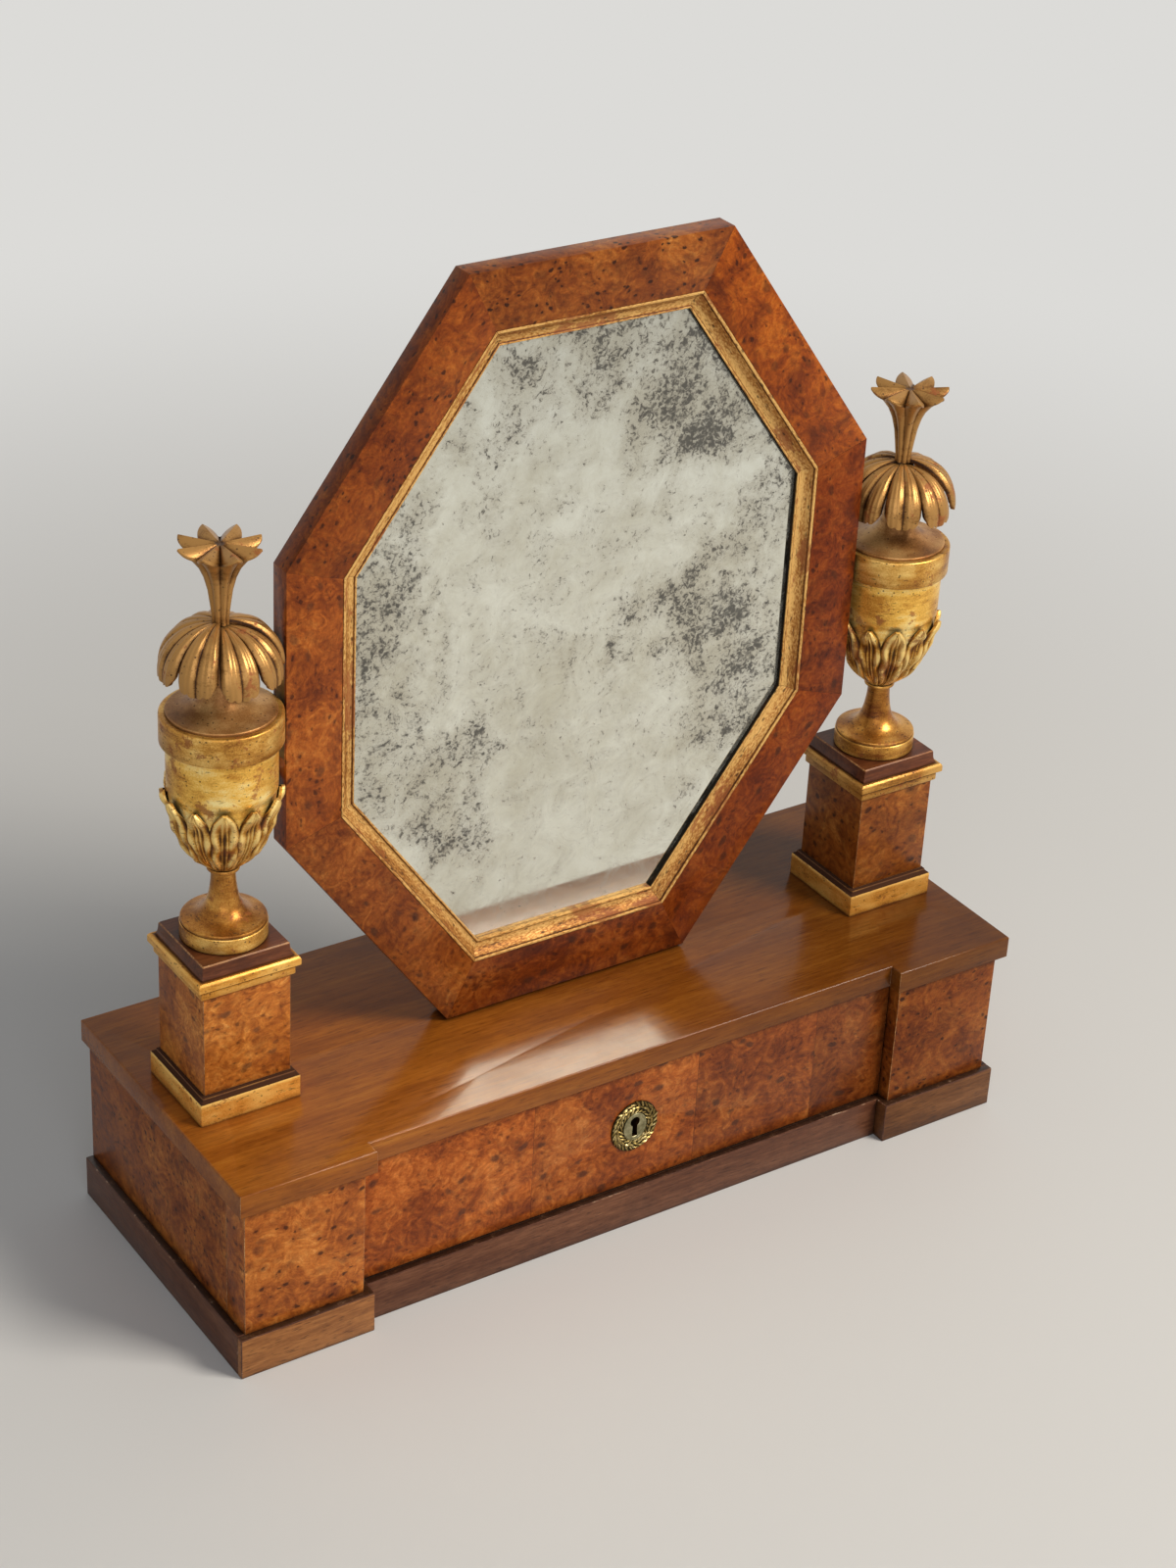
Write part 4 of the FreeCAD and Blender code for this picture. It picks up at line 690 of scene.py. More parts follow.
def leafObject(name, rows, columns, carve):
    # closed leaf: carve gives its upper point, its under point and how proud it stands, v along, u across
    spots = [[carve(i / (rows - 1), 2 * j / (columns - 1) - 1) for j in range(columns)]
             for i in range(rows)]
    bm = bmesh.new()
    relief = bm.verts.layers.float.new("relief")
    tops, unders = ([[bm.verts.new(spot[layer] * mm) for spot in row] for row in spots] for layer in (0, 1))
    for i in range(rows):
        for j in range(columns):
            tops[i][j][relief] = spots[i][j][2]
    for i in range(rows - 1):
        for j in range(columns - 1):
            bm.faces.new((tops[i][j], tops[i][j + 1], tops[i + 1][j + 1], tops[i + 1][j]))
            bm.faces.new((unders[i][j], unders[i + 1][j], unders[i + 1][j + 1], unders[i][j + 1]))
        for j in (0, columns - 1):
            bm.faces.new((tops[i][j], tops[i + 1][j], unders[i + 1][j], unders[i][j]))
    for i in (0, rows - 1):
        for j in range(columns - 1):
            bm.faces.new((tops[i][j], tops[i][j + 1], unders[i][j + 1], unders[i][j]))
    bmesh.ops.remove_doubles(bm, verts=bm.verts, dist=1e-6)
    bmesh.ops.dissolve_degenerate(bm, edges=bm.edges, dist=1e-6)
    bmesh.ops.recalc_face_normals(bm, faces=bm.faces)
    return meshObject(bm, name)


def grown(tree, name, values):  # run a tree and keep its result as a plain mesh
    host = bpy.data.objects.new(name, bpy.data.meshes.new(name))
    bpy.context.collection.objects.link(host)
    modifier = host.modifiers.new("grow", "NODES")
    modifier.node_group = tree
    for item in tree.interface.items_tree:
        if item.in_out == "INPUT" and item.name in values:
            modifier[item.identifier] = values[item.name]
    bpy.context.view_layer.update()
    mesh = bpy.data.meshes.new_from_object(host.evaluated_get(bpy.context.evaluated_depsgraph_get()))
    host.modifiers.remove(modifier)
    host.data = mesh
    return host


# Box: top board, plinth, carcase and drawer
def buildBox():
    board = eased("base_top", woodTop, 0.7, 3, arris=woodArris)
    board.data.materials.append(darkJointAndShade)
    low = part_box("base_top")[0]
    for face in board.data.polygons:  # painted shade under the board's overhang: its lower rubbed edge is painted near black
        if face.material_index == 1 and face.center.z < low[2] + 1.5 * mm:
            face.material_index = 2
    # painted light: lighter walnut on the left block, darker on the right
    for side, wood in (("left", woodPlinthPaintedLit), ("right", woodPlinthPaintedShade)):
        eased("plinth_block_" + side, wood, 0.6, arris=woodArrisDark)
        eased("plinth_side_" + side, woodPlinthSide, 0.6, arris=woodArrisDark)
    eased("plinth_centre", woodPlinth, 0.6, arris=woodArrisDark)
    # where in the burr each leaf was cut, its tint and gain, which paint light and shade (left end lit,
    # right end shaded), its share of eyes and clouds, the eyes' size
    burrs = {
        "end_block_left": ((0.31, 0.2, 0.05), "#fff4ee", 1.3, 0.75, 0.15, 1.6),
        "end_block_right": ((0.77, 0.1, 0.45), "#f8e0c8", 0.74, 0.9, 0.6, 1.2),
        "carcase_side_left": ((0.15, 0.62, 0.91), "#fff0e0", 1.0, 0.6, 0.6, 1.0),
        "carcase_side_right": ((0.45, 0.12, 0.37), "#fff0e0", 1.0, 0.6, 0.6, 1.0),
    }
    for node, (shift, tint, gain, eyed, clouded, large) in burrs.items():
        wood = burrVeneer("burr_veneer_" + node, shift, (0, 0, 0), (), tint, gain, eyed, clouded,
                          0.9, large)
        eased(node, wood, 0.4, arris=woodArris)
    drawerBurr = burrVeneer("burr_veneer_drawer_front", (0.52, 0.0, 0.23), joints=(-0.0737, 0.0467, 0.1382),
                            tint="#ffe6e2", gain=1.1, eyed=0.55, clouded=0.5, crisp=0.45)
    front = eased("drawer_front", drawerBurr, 0.5, arris=woodArris)
    front.data.materials.append(keyholeShade)
    for face in front.data.polygons:  # painted shade: the keyhole's inner walls are near black
        spot = face.center / mm
        if abs(spot.x) < 5 and 62 < spot.z < 82 and abs(face.normal.y) < 0.8:
            face.material_index = 2
    for node in ("drawer_back", "drawer_bottom"):
        eased(node, woodOak, 0.3)
    # painted shade: near black for the rail in the gap under the drawer
    eased("front_rail", woodRailPaintedShade, 0.3)
    for side in ("left", "right"):
        eased("drawer_side_" + side, woodOakSide, 0.3)
    for node in ("carcase_back", "drawer_floor", "drawer_runners", "drawer_stops", "drawer_partition_left",
                 "drawer_partition_right"):
        eased(node, woodPine, 0.3)
    eased("lock_case", brassDull, 0.2)
    eased("lock_bolt", ironDark, 0.2)
    print("box built")


buildBox()


# Pedestals
pedestal = {
    "axis": 235.5, "corner": 0.5, "abacusCorner": 0.6,
    # half width and height above the piece's own base, up the profile
    "foot": [(32.5, 0), (32.5, 1.6), (32.5, 12.4), (32.5, 14.2), (32.2, 14.9), (31.6, 15.3), (30.4, 16.4),
             (30.0, 17.6), (28.4, 18.0)],
    # how proud or sunk each ring of foot and cap stands: the gilding paints shade in the sunk rings
    "footRelief": (-0.8, 0.2, 0.2, 0.8, 0.8, -0.6, -0.8, -0.7, -1),
    "cap": [(28.6, 0), (29.9, 0.3), (30.25, 0.9), (30.25, 3.9), (30.25, 4.9), (29.7, 5.6), (29.7, 6.2),
            (30.9, 6.4), (32.1, 6.6), (32.85, 7.2), (32.85, 10.6), (32.5, 11.6), (31.6, 12.5),
            (30.1, 12.5), (29.6, 12.5)],
    "capRelief": (-0.6, 0.5, 0.5, 0, -0.3, -1, -1, -0.7, 0.0, 0.4, 0.0, 0.5, 0.1, -0.7, -1),
    # painted light: the left die gets a lighter copy of the burr and the right die a darker one
    "dies": {
        "left": dict(shift=(0.4, 0.3, 0.2), tint="#faf9f4", gain=1.54, clouded=0.45, eyed=0.5, crisp=0.6),
        "right": dict(shift=(0.13, 0.75, 0.66), tint="#fff2de", gain=0.78, clouded=0.45, eyed=0.8,
                      crisp=0.8, large=1.5),
    },
    "abacus": [(29.25, 0), (29.25, 1.1), (28.7, 2.0), (28.2, 4.2), (27.9, 7.9), (27.3, 8.7), (24.0, 8.7)],
}


def squareMoulding(profile, centre, corner):  # a profile mitred round a square, corners a little rubbed
    rings = []
    for half, height in profile:
        ring = []
        for quarter in range(4):
            for bit in (0, 0.5, 1):
                angle = math.pi / 2 * (quarter + bit)
                middle = math.pi / 2 * (quarter + 0.5)
                x = (half - corner) * math.copysign(1, math.cos(middle)) + corner * math.cos(angle)
                y = (half - corner) * math.copysign(1, math.sin(middle)) + corner * math.sin(angle)
                ring.append(centre + Vector((x, y, height)) * mm)
        rings.append(ring)
    return rings


def buildPedestals():
    for side, sign in (("left", -1), ("right", 1)):
        # painted light: the left pedestal gets lighter gilding, the right pedestal darker
        gilt = (goldFoot, goldMoulding) if sign < 0 else (goldFootPaintedShade, goldMouldingPaintedShade)
        for part, material in zip(("foot", "cap"), gilt):
            node = f"pedestal_{part}_{side}"
            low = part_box(node)[0]
            bm = bmesh.new()
            relief = bm.verts.layers.float.new("relief")
            rings = squareMoulding(pedestal[part], Vector((sign * pedestal["axis"] * mm, 0, low[2])),
                                   pedestal["corner"])
            for ring, depth in zip(ringFaces(bm, rings), pedestal[part + "Relief"]):
                for vert in ring:
                    vert[relief] = depth
            finishPiece(bm, node + "_moulding", [material], node)
        node = "abacus_" + side
        bm = bmesh.new()
        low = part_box(node)[0]
        ringFaces(bm, squareMoulding(pedestal["abacus"], Vector((sign * pedestal["axis"] * mm, 0, low[2])),
                                     pedestal["abacusCorner"]))
        for face in bm.faces:  # upper arris rubbed pale, with a painted highlight
            if 7.8 < (face.calc_center_median().z - low[2]) / mm < 8.69:
                face.material_index = 1
        finishPiece(bm, node + "_block", [woodAbacus, woodArris], node)
        wood = burrVeneer("burr_veneer_die_" + side, **pedestal["dies"][side])
        eased("pedestal_die_" + side, wood, 0.35, arris=woodArris)
    print("pedestals built")


buildPedestals()

# Urns
urn = {
    "axis": 235.5, "base": 237.0,
    "footBand": [(24.9, 0), (25.5, 0.6), (25.5, 9.3), (25.1, 9.9), (24.5, 10.0), (24.3, 10.5), (24.9, 10.8),
                 (25.1, 11.4), (24.7, 12.1), (23.4, 12.5)],
    "footSweep": [(23.4, 12.5), (20.6, 13.0), (17.0, 14.2), (13.6, 16.7), (10.8, 20.6), (8.9, 25.8),
                  (7.9, 31.0), (7.3, 36.2), (7.1, 40.2), (7.3, 42.4)],
    "collar": [(7.4, 42.6), (8.7, 42.9), (9.5, 43.6), (9.6, 44.4), (9.2, 45.2), (7.8, 45.6)],
    "cupFoot": (9.2, 45.6), "cupLip": (31.5, 96.6), "cupFull": 0.4,
    "wall": [(31.3, 97.5), (31.5, 101.0), (31.5, 126.2)],
    "rim": [(31.4, 126.0), (34.4, 126.5), (35.0, 127.2), (35.0, 142.9), (34.8, 143.9), (34.2, 144.5),
            (33.0, 144.6), (30.0, 144.2)],
    "lidEdge": [(30.6, 144.0), (31.2, 144.3), (31.3, 145.7), (31.0, 146.2), (30.3, 146.4)],
    "lidDish": [(30.3, 146.4), (24.6, 147.0), (19.4, 148.7), (15.2, 151.2), (12.0, 155.0), (9.9, 160.2),
                (8.8, 166.0), (8.3, 171.5), (8.2, 178.5)],
    "crownTop": 198.5, "spring": 3.7, "reach": 30.0, "drop": 27.4, "leafThick": 2.4,
    "finialHeight": 48.5, "starTip": 24.4, "starNotch": 15.0, "starGroove": 5.6, "starSunk": 0.8,
    "starEdge": 2.3,
    # crest radius and valley radius of the fluted stem at heights above the crown
    "stem": [(0, 5.2, 4.4), (4, 5.0, 4.2), (13, 6.2, 5.1), (21, 7.4, 6.0), (29, 9.6, 7.7), (35, 12.4, 10.0),
             (39.8, 16.2, 13.0), (43.6, 20.4, 16.0)],
}


def bowlSurface(v):  # point and outward normal of the cup, from its foot to the leaf tips
    low, high = (Vector((urn[name][0], 0, urn[name][1])) for name in ("cupFoot", "cupLip"))
    chord = high - low
    across = Vector((chord.z, 0, -chord.x))
    point = low + chord * v + across * (urn["cupFull"] * v * (1 - v))
    return point, (across - chord * (urn["cupFull"] * (1 - 2 * v))).normalized()


def cupLeaf(front):  # broad leaf with a double midrib, puffed faces and a thick tip that turns out
    def carve(v, u):
        point, outward = bowlSurface(v * (1.0 if front else 0.98))
        spread = 1.0 if v < 0.64 else max(0.03, math.cos((v - 0.64) / 0.36 * math.pi / 2)) ** 0.62
        half = math.radians(18.0 if front else 16.8) * spread
        curl = (3.5 if front else 2.8) * max(0, (v - 0.66) / 0.34) ** 1.8
        curl += 1.1 * math.exp(-((v - 0.93) / 0.055) ** 2) - 0.9 * math.exp(-((v - 0.77) / 0.075) ** 2)
        side = abs(u)
        rib = 1.1 * math.exp(-((side - 0.16) / 0.08) ** 2)
        swell = 1.3 * max(0, math.sin(math.pi * min(1, max(0, (side - 0.24) / 0.76)))) ** 0.8
        vein = 0.55 * math.sin(15 * v - 5 * side + (0 if front else 2)) * swell
        lump = 0.8 * noise.noise(Vector((v * 8, u * 3, 3.7 if front else 8.2)))
        carved = rib + swell + vein + lump - 1.0 * side ** 8
        relief = carved * min(1, v * 3.5) * (0.35 + 0.65 * spread)
        lift = (0.9 if front else 0.2) * min(1, v * 5) - 0.3 + relief + curl * (1 - 0.25 * u * u)
        turn = Matrix.Rotation(u * half, 3, "Z")
        return (turn @ (point + outward * lift),
                turn @ (point + outward * min(lift - 1.4, curl * 0.7 - 0.7)),
                max(-1, min(1, carved * 1.1 - 0.8 + curl * 0.5)))

    return leafObject("cup_leaf_front" if front else "cup_leaf_behind", 32, 41, carve)


def palmLeaf(v, u):  # two swelling halves either side of a narrow groove, with a scalloped end
    side = abs(u)
    if side < 0.36:
        hang = 93 + 6 * math.sqrt(1 - (side / 0.36) ** 2)
    else:
        t = (side - 0.36) / 0.64
        hang = 93 + 3 * max(0, math.sin(math.pi * min(1, t * 1.5))) ** 0.7 - 13 * t ** 3
    sweep = math.radians(hang * v)
    lean = math.atan2(urn["drop"] * math.sin(sweep), urn["reach"] * math.cos(sweep))
    groove = abs(2 * side - 1) ** 3
    carved = 1 - (0.75 if side < 0.5 else 1.25) * groove
    fine = 0.14 * math.cos(8 * math.pi * side)
    lift = (2.2 * carved + fine - 1.0) * min(1, v * 2.6)
    outward = Vector((math.sin(lean), 0, math.cos(lean)))
    base = Vector((urn["spring"] + urn["reach"] * math.sin(sweep), 0,
                   urn["crownTop"] - urn["drop"] * (1 - math.cos(sweep))))
    turn = Matrix.Rotation(u * math.radians(22.5) * (0.998 - 0.07 * v ** 4), 3, "Z")
    thick = urn["leafThick"] * (1 - 0.3 * v ** 4)
    return (turn @ (base + outward * lift), turn @ (base + outward * (min(lift, 0.4) * 0.5 - thick)),
            1 - 1.75 * groove ** 2)


def starRings(centre, turn):  # fluted stem that opens into a star of roof-shaped petals
    petals, half = 8, 8
    columns = petals * 2 * half

    def ringAt(shape):
        ring = []
        for i in range(columns):
            t = (i % (2 * half)) / half - 1  # crest of a petal at t = 0
            angle = turn + 2 * math.pi * i / columns - math.pi / petals + 2 * math.pi / petals
            radius, height = shape(abs(t))
            ring.append(centre + Vector((radius * math.cos(angle), radius * math.sin(angle), height)) * mm)
        return ring

    base = urn["crownTop"]
    top = base + urn["finialHeight"]
    tip, notch = urn["starTip"], urn["starNotch"]
    rings = []
    for height, crest, valley in urn["stem"]:
        rings.append(ringAt(lambda t: (valley + (crest - valley) * (1 - t ** 1.6), base + height)))

    def rim(t):
        return notch + (tip - notch) * (1 - t ** 1.8) ** 1.05

    fall = urn["starGroove"]
    rings.append(ringAt(lambda t: (rim(t) * 0.965, top - urn["starEdge"] - fall * t)))
    rings.append(ringAt(lambda t: (rim(t), top - urn["starEdge"] * 0.55 - fall * t)))
    rings.append(ringAt(lambda t: (rim(t) * 0.995, top - 0.25 - fall * t)))
    for share in (0.97, 0.7, 0.4, 0.14):
        rings.append(ringAt(lambda t: (rim(t) * share,
                                       top - fall * t * share - urn["starSunk"] * (1 - share))))
    return rings


def turnedObject(profile, centre, material, name, segments=96):  # a turned piece, to be joined with carving
    bm = bmesh.new()
    ringFaces(bm, latheRings(profile, centre, segments))
    return meshObject(bm, name, [material])


def buildUrns():
    palm = leafObject("palm_leaf", 26, 41, palmLeaf)
    frontLeaf, behindLeaf = cupLeaf(True), cupLeaf(False)
    inside = []  # the bowl behind its leaves
    for i in range(25):
        point, outward = bowlSurface(i / 24)
        inside.append(((point - outward * 0.9).x, (point - outward * 0.9).z))
    for side, sign in (("left", -1), ("right", 1)):
        centre = Vector((sign * urn["axis"], 0, urn["base"])) * mm
        bm = bmesh.new()
        profile = urn["footBand"] + curveThrough(urn["footSweep"], 5)[1:] + urn["collar"]
        ringFaces(bm, latheRings(profile, centre))
        for face in bm.faces:  # paler leaf on the band
            if face.calc_center_median().z < centre.z + 9.8 * mm:
                face.material_index = 1
        finishPiece(bm, f"urn_foot_{side}_turned", [goldBase, goldTurned], f"urn_foot_{side}")

        bowl = turnedObject(inside + urn["wall"], centre, goldUrn, "bowl")
        rim = turnedObject(urn["rim"], centre, goldTurned, "rim")
        first = math.radians(4.6 if sign < 0 else 3.0)
        leaves = [grown(ringNodes, "cup_leaves", {
            "Leaf": leaf, "Count": 6, "Turn": first + late, "Uneven": 0.008, "Seed": 3 + sign,
            "Centre": centre, "Gilding": goldLeaf})
            for leaf, late in ((frontLeaf, 0.0), (behindLeaf, math.pi / 6))]
        bm, gilt = joinObjects([bowl, rim] + leaves)
        finishPiece(bm, f"urn_bowl_{side}_carved", gilt, f"urn_bowl_{side}", recalc=False, sharp=45)

        bm = bmesh.new()
        ringFaces(bm, latheRings(urn["lidEdge"] + curveThrough(urn["lidDish"], 5)[1:], centre))
        finishPiece(bm, f"urn_lid_{side}_turned", [goldLid], f"urn_lid_{side}")

        crownTurn = math.radians(38.0 if sign < 0 else 11.3)
        crown = grown(ringNodes, "crown_leaves", {
            "Leaf": palm, "Count": 8, "Turn": crownTurn, "Uneven": 0.012, "Seed": 11 + sign,
            "Centre": centre, "Gilding": goldCarved})
        neck = turnedObject([(8.1, 176.5), (8.6, 182), (9.0, 190), (7.0, 196.5)], centre, goldCarved,
                            "neck", 48)
        bm, gilt = joinObjects([crown, neck])
        finishPiece(bm, f"urn_crown_{side}_carved", gilt, f"urn_crown_{side}", recalc=False, sharp=60)

        bm = bmesh.new()
        relief = bm.verts.layers.float.new("relief")
        starTurn = math.radians(40.2 if sign < 0 else 18.2)
        for step, layer in enumerate(ringFaces(bm, starRings(centre, starTurn))):
            away = (layer[0].co - centre).xy.length / mm
            shadeAndDirt = 0.95 if step < len(urn["stem"]) else 1.4
            for i, vert in enumerate(layer):  # painted shade and dirt: the grooves between the petals are darkened, the crests paler
                vert[relief] = (0.8 - shadeAndDirt * abs((i % 16) / 8 - 1) ** 4) * min(1, away / 5)
        finishPiece(bm, f"urn_finial_{side}_carved", [goldCarved], f"urn_finial_{side}", sharp=28)
    for leaf in (palm, frontLeaf, behindLeaf):
        bpy.data.objects.remove(leaf)
    print("urns carved")


buildUrns()

# Swing mirror
mirror = {
    "pivot": 372.5, "width": 398, "height": 480, "topEdge": 175, "sideEdge": 175, "front": -7.5,
    # inset from the frame's outer edge and depth behind its face, across the gilt slip
    "slip": [(35.6, 0.9), (35.6, 0.15), (35.9, -0.25), (36.8, -0.35), (37.4, 0.0), (37.6, 0.9), (38.0, 1.7),
             (39.2, 3.2), (40.8, 4.5), (42.6, 5.35), (44.2, 5.7), (45.1, 5.6), (45.4, 5.0), (46.0, 4.7),
             (46.7, 4.85), (47.0, 5.3), (47.0, 7.9), (35.6, 7.9)],
    "slipGrooves": (35.6, 37.6, 45.4),
    # where each rail's leaf of burr was cut, its tint and gain, which paint light and shade on the rail,
    # how many eyes and clouds it has, how crisp
    "veneers": {
        "top": ((0.11, 0.0, 0.31), "#ffe8c8", 0.85, 0.8, 0.6, 1.0),
        "upper_right": ((0.48, 0.23, 0.84), "#ffd490", 1.0, 0.55, 0.75, 0.75),
        "right": ((0.85, 0.46, 0.37), "#f8c090", 0.68, 0.5, 0.7, 0.65),
        "lower_right": ((0.22, 0.69, 0.9), "#f8c494", 0.68, 0.5, 0.65, 0.5),
        "bottom": ((0.59, 0.92, 0.43), "#f4c8a4", 0.64, 0.7, 0.75, 0.5),
        "lower_left": ((0.96, 0.15, 0.96), "#fae6da", 0.85, 0.6, 0.5, 0.45),
        "left": ((0.33, 0.38, 0.49), "#ffe6cc", 1.05, 0.6, 0.45, 0.7),
        "upper_left": ((0.7, 0.61, 0.02), "#fcd4a0", 0.78, 0.6, 0.65, 0.85),
    },
    "mitreGap": 0.10,
}


def octagonCorner(index, inset):  # corners clockwise from the top left one, drawn in by an inset
    halfWide, halfHigh = mirror["width"] / 2, mirror["height"] / 2
    run, fall = halfWide - mirror["topEdge"] / 2, halfHigh - mirror["sideEdge"] / 2
    slope = math.atan2(fall, run)
    topX = mirror["topEdge"] / 2 - inset * math.tan(slope / 2)
    sideZ = mirror["sideEdge"] / 2 - inset * math.tan((math.pi / 2 - slope) / 2)
    rightHalf = ((topX, halfHigh - inset), (halfWide - inset, sideZ), (halfWide - inset, -sideZ),
                 (topX, inset - halfHigh))
    corner = (index - 1) % 8
    x, z = rightHalf[corner if corner < 4 else 7 - corner]
    return Vector((x if corner < 4 else -x, 0, z))


def buildMirror():
    for index, (name, (shift, tint, gain, eyed, clouded, crisp)) in enumerate(mirror["veneers"].items()):
        rail = (octagonCorner(index + 1, 0) - octagonCorner(index, 0)).normalized()
        turn = (0, math.atan2(rail.z, rail.x), 0)
        wood = burrVeneer("burr_veneer_frame_" + name, shift, turn, (), tint, gain, eyed, clouded, crisp)
        eased("frame_" + name, wood, 0.4, arris=wood, seam=rail)
    bm = bmesh.new()
    run = bm.verts.layers.float_vector.new("run")
    relief = bm.verts.layers.float.new("relief")
    for index in range(8):
        start, end = [], []
        for inset, depth in mirror["slip"]:
            a, b = octagonCorner(index, inset), octagonCorner(index + 1, inset)
            along = (b - a).normalized() * mirror["mitreGap"]
            sunk = Vector((0, mirror["front"] + depth, mirror["pivot"]))
            start.append((a + along + sunk) * mm)
            end.append((b - along + sunk) * mm)
        steps = 12
        before = len(bm.faces)
        layers = ringFaces(bm, [[p.lerp(q, k / steps) for p, q in zip(start, end)]
                                for k in range(steps + 1)])
        length = (end[0] - start[0]).length
        for k, layer in enumerate(layers):
            for vert, (inset, depth) in zip(layer, mirror["slip"]):
                vert[run] = (index * 0.7 + length * k / steps, inset * mm, depth * mm)
                # the joint with the rail and the quirks are sunk: the gilding darkens them, a dark joint
                # and painted shade in the quirks
                proud = 0.5 if depth < 0.1 or inset > 41 else 0
                vert[relief] = -1 if inset in mirror["slipGrooves"] else proud
        bm.faces.ensure_lookup_table()
        for face in bm.faces[before:]:  # painted shade and reflection: on the right the edge down to the glass is near black, for its unlit side and its dark reflection in the glass
            if index in (1, 2, 3) and all(vert[run].y > 46.9 * mm for vert in face.verts):
                face.material_index = 1
    finishPiece(bm, "gilt_slip_moulding", [goldSlip, darkJointAndShade], "gilt_slip", sharp=40)
    glass = frame["nodes"]["mirror_glass"]
    glass.data.materials.clear()
    glass.data.materials.append(foxedSilver())
    for node, material in (("backboard", woodPineUp), ("back_sprigs", ironDark),
                           ("pivot_plates", brassDull), ("pivot_bushes", brassDull),
                           ("pedestal_screws", ironDark)):
        piece = frame["nodes"][node]
        piece.data.materials.clear()
        piece.data.materials.append(material)
    print("mirror built")


buildMirror()

# Keyhole plate
plate = {
    "keyZ": 72.0, "face": -88.0, "eyeRadius": 3.4, "slotWidth": 3.6, "keyHeight": 14.0,
    "halfWide": 16.8, "halfHigh": 17.8, "fieldWide": 7.6, "fieldHigh": 9.2,
    # rows of the wreath: share of the plate's half width, number of leaves, lean
    "rows": [(0.60, 21, -0.5), (0.75, 26, 0.15), (0.90, 30, 0.6)], "leafLong": 4.4, "leafWide": 1.7,
}


def keyholeReach(angle):  # from the keyhole's middle to its edge
    eye, half = plate["keyHeight"] / 2 - plate["eyeRadius"], plate["slotWidth"] / 2
    sine, cosine = math.sin(angle), max(1e-6, abs(math.cos(angle)))
    join = eye - math.sqrt(plate["eyeRadius"] ** 2 - half ** 2)
    if half * sine / cosine <= join:
        return min(half / cosine, plate["keyHeight"] / 2 / max(1e-6, -sine))
    return eye * sine + math.sqrt((eye * sine) ** 2 - eye ** 2 + plate["eyeRadius"] ** 2)


def ovalReach(angle, halfWide, halfHigh):
    return 1 / math.hypot(math.cos(angle) / halfWide, math.sin(angle) / halfHigh)


def wreathLeaf(lean):  # small pointed leaf, ridged, that lies along the wreath
    def carve(v, u):
        half = plate["leafWide"] / 2 * max(0.05, math.sin(math.pi * v ** 0.8)) ** 0.8
        along = (v - 0.5) * plate["leafLong"]
        rise = 0.2 + 0.8 * math.sin(math.pi * v) * (1 - abs(u)) + 0.4 * v
        spot = Vector((along, u * half - lean * along, rise))
        return spot, Vector((spot.x, spot.y, -0.3)), 0.5

    return leafObject("wreath_leaf", 9, 7, carve)


def buildKeyholePlate():
    half, low = plate["slotWidth"] / 2, plate["keyHeight"] / 2
    join = plate["keyHeight"] / 2 - plate["eyeRadius"] - math.sqrt(plate["eyeRadius"] ** 2 - half ** 2)
    corners = [math.atan2(z, x) for x in (half, -half) for z in (-low, join)]
    angles = sorted([2 * math.pi * i / 96 - math.pi for i in range(96)] + corners)
    # share from keyhole to plain field, share from field to rim, and rise above the drawer front
    steps = [(0, 0, -0.2), (0, 0, 1.2), (0.12, 0, 1.45), (0.85, 0, 1.4), (0.92, 0, 1.75), (1, 0, 1.8),
             (1, 0.08, 1.5), (1, 0.14, 0.7), (1, 0.9, 0.6), (1, 0.95, 0.9), (1, 1, 0.7), (1, 1, 0.0)]
    bm = bmesh.new()
    rings = []
    for inner, outer, rise in steps:
        ring = []
        for angle in angles:
            edge, rim = keyholeReach(angle), ovalReach(angle, plate["halfWide"], plate["halfHigh"])
            field = max(edge + 0.6, ovalReach(angle, plate["fieldWide"], plate["fieldHigh"]))
            reach = edge + (field - edge) * inner + (rim - field) * outer
            ring.append(Vector((reach * math.cos(angle), plate["face"] - rise,
                                plate["keyZ"] + reach * math.sin(angle))) * mm)
        rings.append(ring)
    ringFaces(bm, rings, closeEnds=False)
    bm.faces.ensure_lookup_table()
    for i, face in enumerate(bm.faces):  # painted shade: black in the keyhole and a dark bed under the wreath; a plain field between
        face.material_index = (1, 0, 0, 0, 0, 0, 2, 2, 2, 2, 2)[i // len(angles)]
    bmesh.ops.recalc_face_normals(bm, faces=bm.faces)
    pieces = [meshObject(bm, "plate", [brassField, keyholeShade, brassBed])]
    for share, count, lean in plate["rows"]:
        leaf = wreathLeaf(lean)
        pieces.append(grown(wreathNodes, "wreath", {
            "Leaf": leaf, "Count": count, "Half Width": plate["halfWide"] * share * mm,
            "Half Height": plate["halfHigh"] * (share + 0.02) * mm, "Seed": count,
            "Centre": Vector((0, plate["face"] - 0.6, plate["keyZ"])) * mm, "Gilding": brassGilt}))
        bpy.data.objects.remove(leaf)
    bm, metals = joinObjects(pieces)
    finishPiece(bm, "escutcheon_wreath", metals, "escutcheon", sharp=45, recalc=False)
    print("keyhole plate built")


buildKeyholePlate()


# Stage: floor, light and camera
stage = {
    "floor": "#cecdca", "backdrop": "#dcdbd8", "ambient": 0.34,
    # direction from the piece, distance, size, power and colour
    "lamps": [("key", (0.50, -0.66, 0.73), 4.0, 1.4, 155, "#fff8ee"),
              ("fill", (-0.5, -0.9, 0.5), 4.0, 2.4, 30, "#f4f6ff")],
    "cameraTurns": (-34.9, 29.64, 3.15), "cameraPlace": (-0.9490, -1.3789, 1.2232), "lens": 73.13,
}


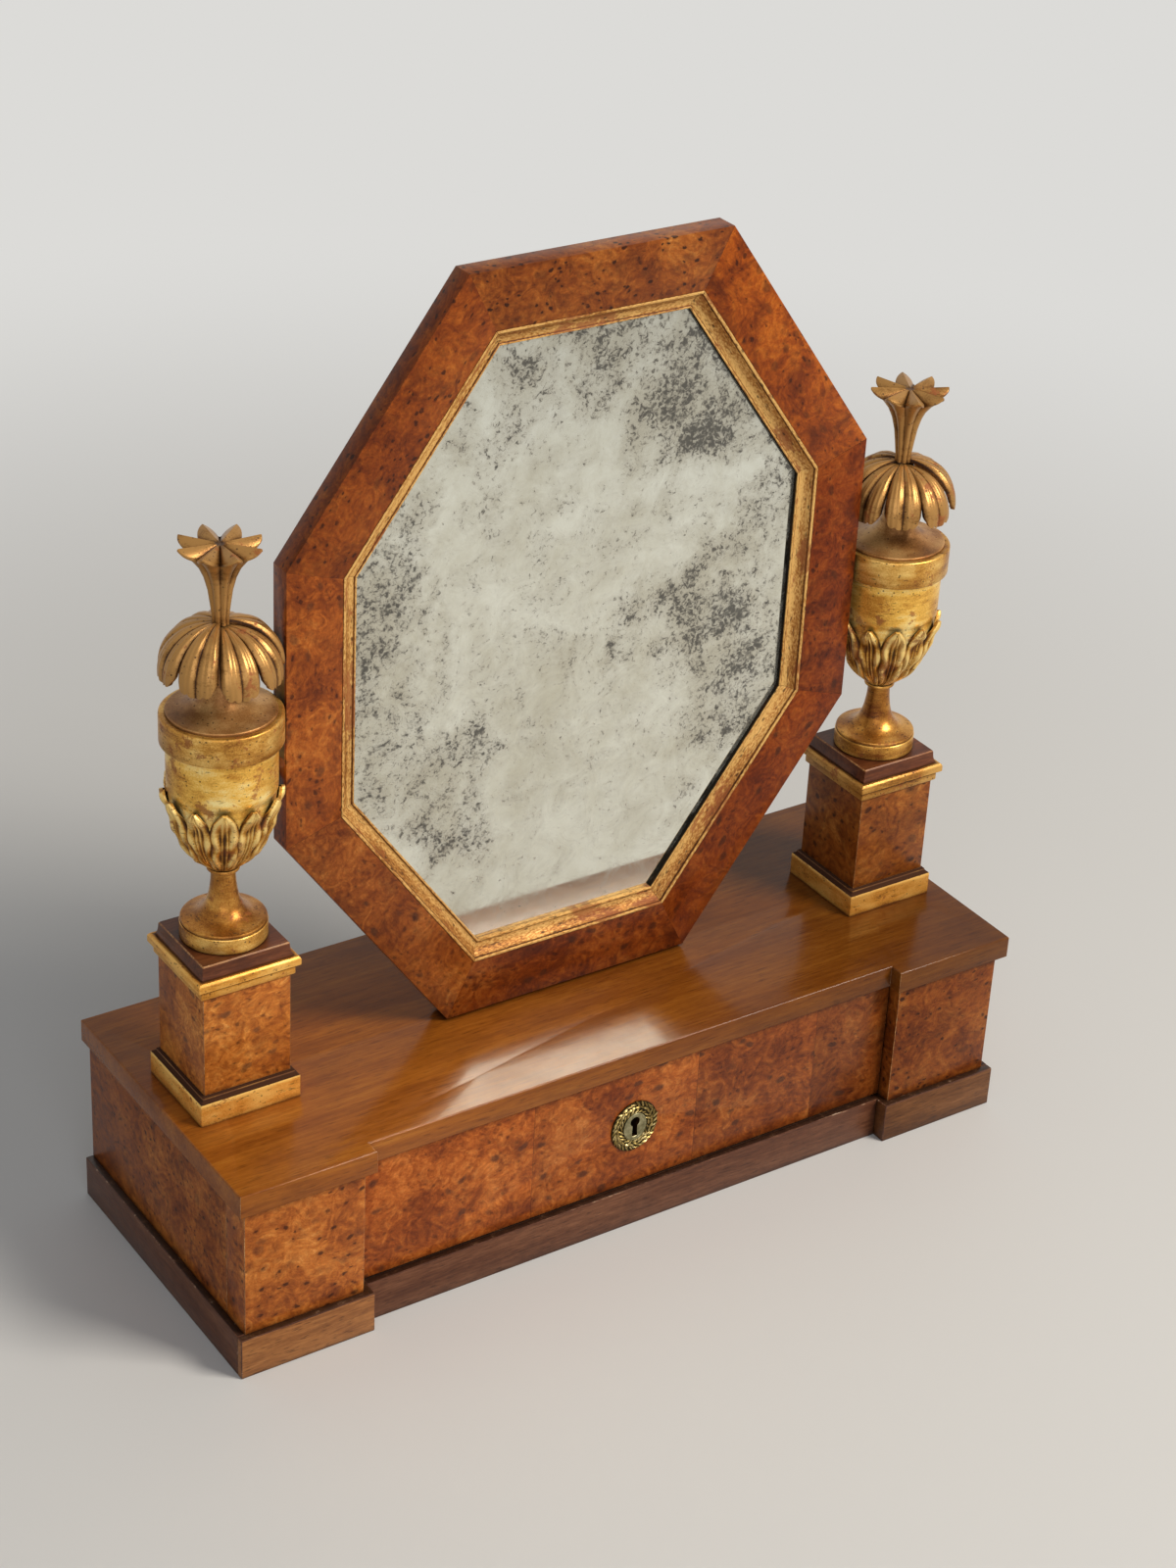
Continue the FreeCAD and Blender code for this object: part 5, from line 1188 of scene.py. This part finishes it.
def seenRays(tree):  # what the camera and mirrors see, apart from what lights the piece
    rays = addNode(tree, "ShaderNodeLightPath").outputs
    seen = maths(tree, "MAXIMUM", rays["Is Camera Ray"], rays["Is Glossy Ray"])
    return maths(tree, "MAXIMUM", seen, rays["Is Transmission Ray"])


def buildStage():
    mesh = bpy.data.meshes.new("floor")
    half = 9.0
    mesh.from_pydata([(-half, -half, 0), (half, -half, 0), (half, half, 0), (-half, half, 0)], [],
                     [(0, 1, 2, 3)])
    floor = bpy.data.objects.new("floor", mesh)
    bpy.context.collection.objects.link(floor)
    material, tree, shader = newMaterial("pale_floor")
    feed(tree, shader, {"Base Color": linear(stage["floor"]), "Roughness": 0.6})
    away = addNode(tree, "ShaderNodeVectorMath", {0: addNode(tree, "ShaderNodeTexCoord").outputs["Object"]},
                   operation="LENGTH").outputs["Value"]
    away = remap(tree, away, 0.5, 1.7, interpolation_type="SMOOTHSTEP")
    away = maths(tree, "MULTIPLY", away, seenRays(tree))
    glow = addNode(tree, "ShaderNodeEmission",
                   {"Color": linear(stage["backdrop"]), "Strength": 1.0}).outputs[0]
    both = addNode(tree, "ShaderNodeMixShader", {0: away, 1: shader.outputs[0], 2: glow}).outputs[0]
    output = next(node for node in tree.nodes if node.type == "OUTPUT_MATERIAL")
    tree.links.new(both, output.inputs["Surface"])
    mesh.materials.append(material)

    world = bpy.data.worlds.new("studio")
    world.use_nodes = True
    tree = world.node_tree
    tree.nodes.clear()
    ambient = addNode(tree, "ShaderNodeBackground",
                      {"Color": linear("#e6e8ea"), "Strength": stage["ambient"]}).outputs[0]
    backdrop = addNode(tree, "ShaderNodeBackground",
                       {"Color": linear(stage["backdrop"]), "Strength": 1.0}).outputs[0]
    both = addNode(tree, "ShaderNodeMixShader", {0: seenRays(tree), 1: ambient, 2: backdrop}).outputs[0]
    addNode(tree, "ShaderNodeOutputWorld", {"Surface": both})
    bpy.context.scene.world = world

    target = Vector((0, 0, 0.25))
    for name, direction, distance, size, power, colour in stage["lamps"]:
        lamp = bpy.data.lights.new(name, "AREA")
        lamp.energy, lamp.size, lamp.color = power, size, linear(colour)[:3]
        light = bpy.data.objects.new(name, lamp)
        light.location = target + Vector(direction).normalized() * distance
        light.rotation_euler = (target - light.location).to_track_quat("-Z", "Y").to_euler()
        bpy.context.collection.objects.link(light)

    azimuth, elevation, roll = (math.radians(angle) for angle in stage["cameraTurns"])
    back = Vector((math.sin(azimuth) * math.cos(elevation), -math.cos(azimuth) * math.cos(elevation),
                   math.sin(elevation)))
    right = Vector((math.cos(azimuth), math.sin(azimuth), 0))
    up = back.cross(right)
    across = right * math.cos(roll) + up * math.sin(roll)
    above = up * math.cos(roll) - right * math.sin(roll)
    lens = bpy.data.cameras.new("camera")
    lens.lens, lens.sensor_width = stage["lens"], 36
    camera = bpy.data.objects.new("camera", lens)
    turned = Matrix((across, above, back)).transposed().to_4x4()
    camera.matrix_world = Matrix.Translation(stage["cameraPlace"]) @ turned
    bpy.context.collection.objects.link(camera)
    bpy.context.scene.camera = camera
    bpy.context.scene.view_settings.view_transform = "Standard"
    print("stage set")


buildStage()
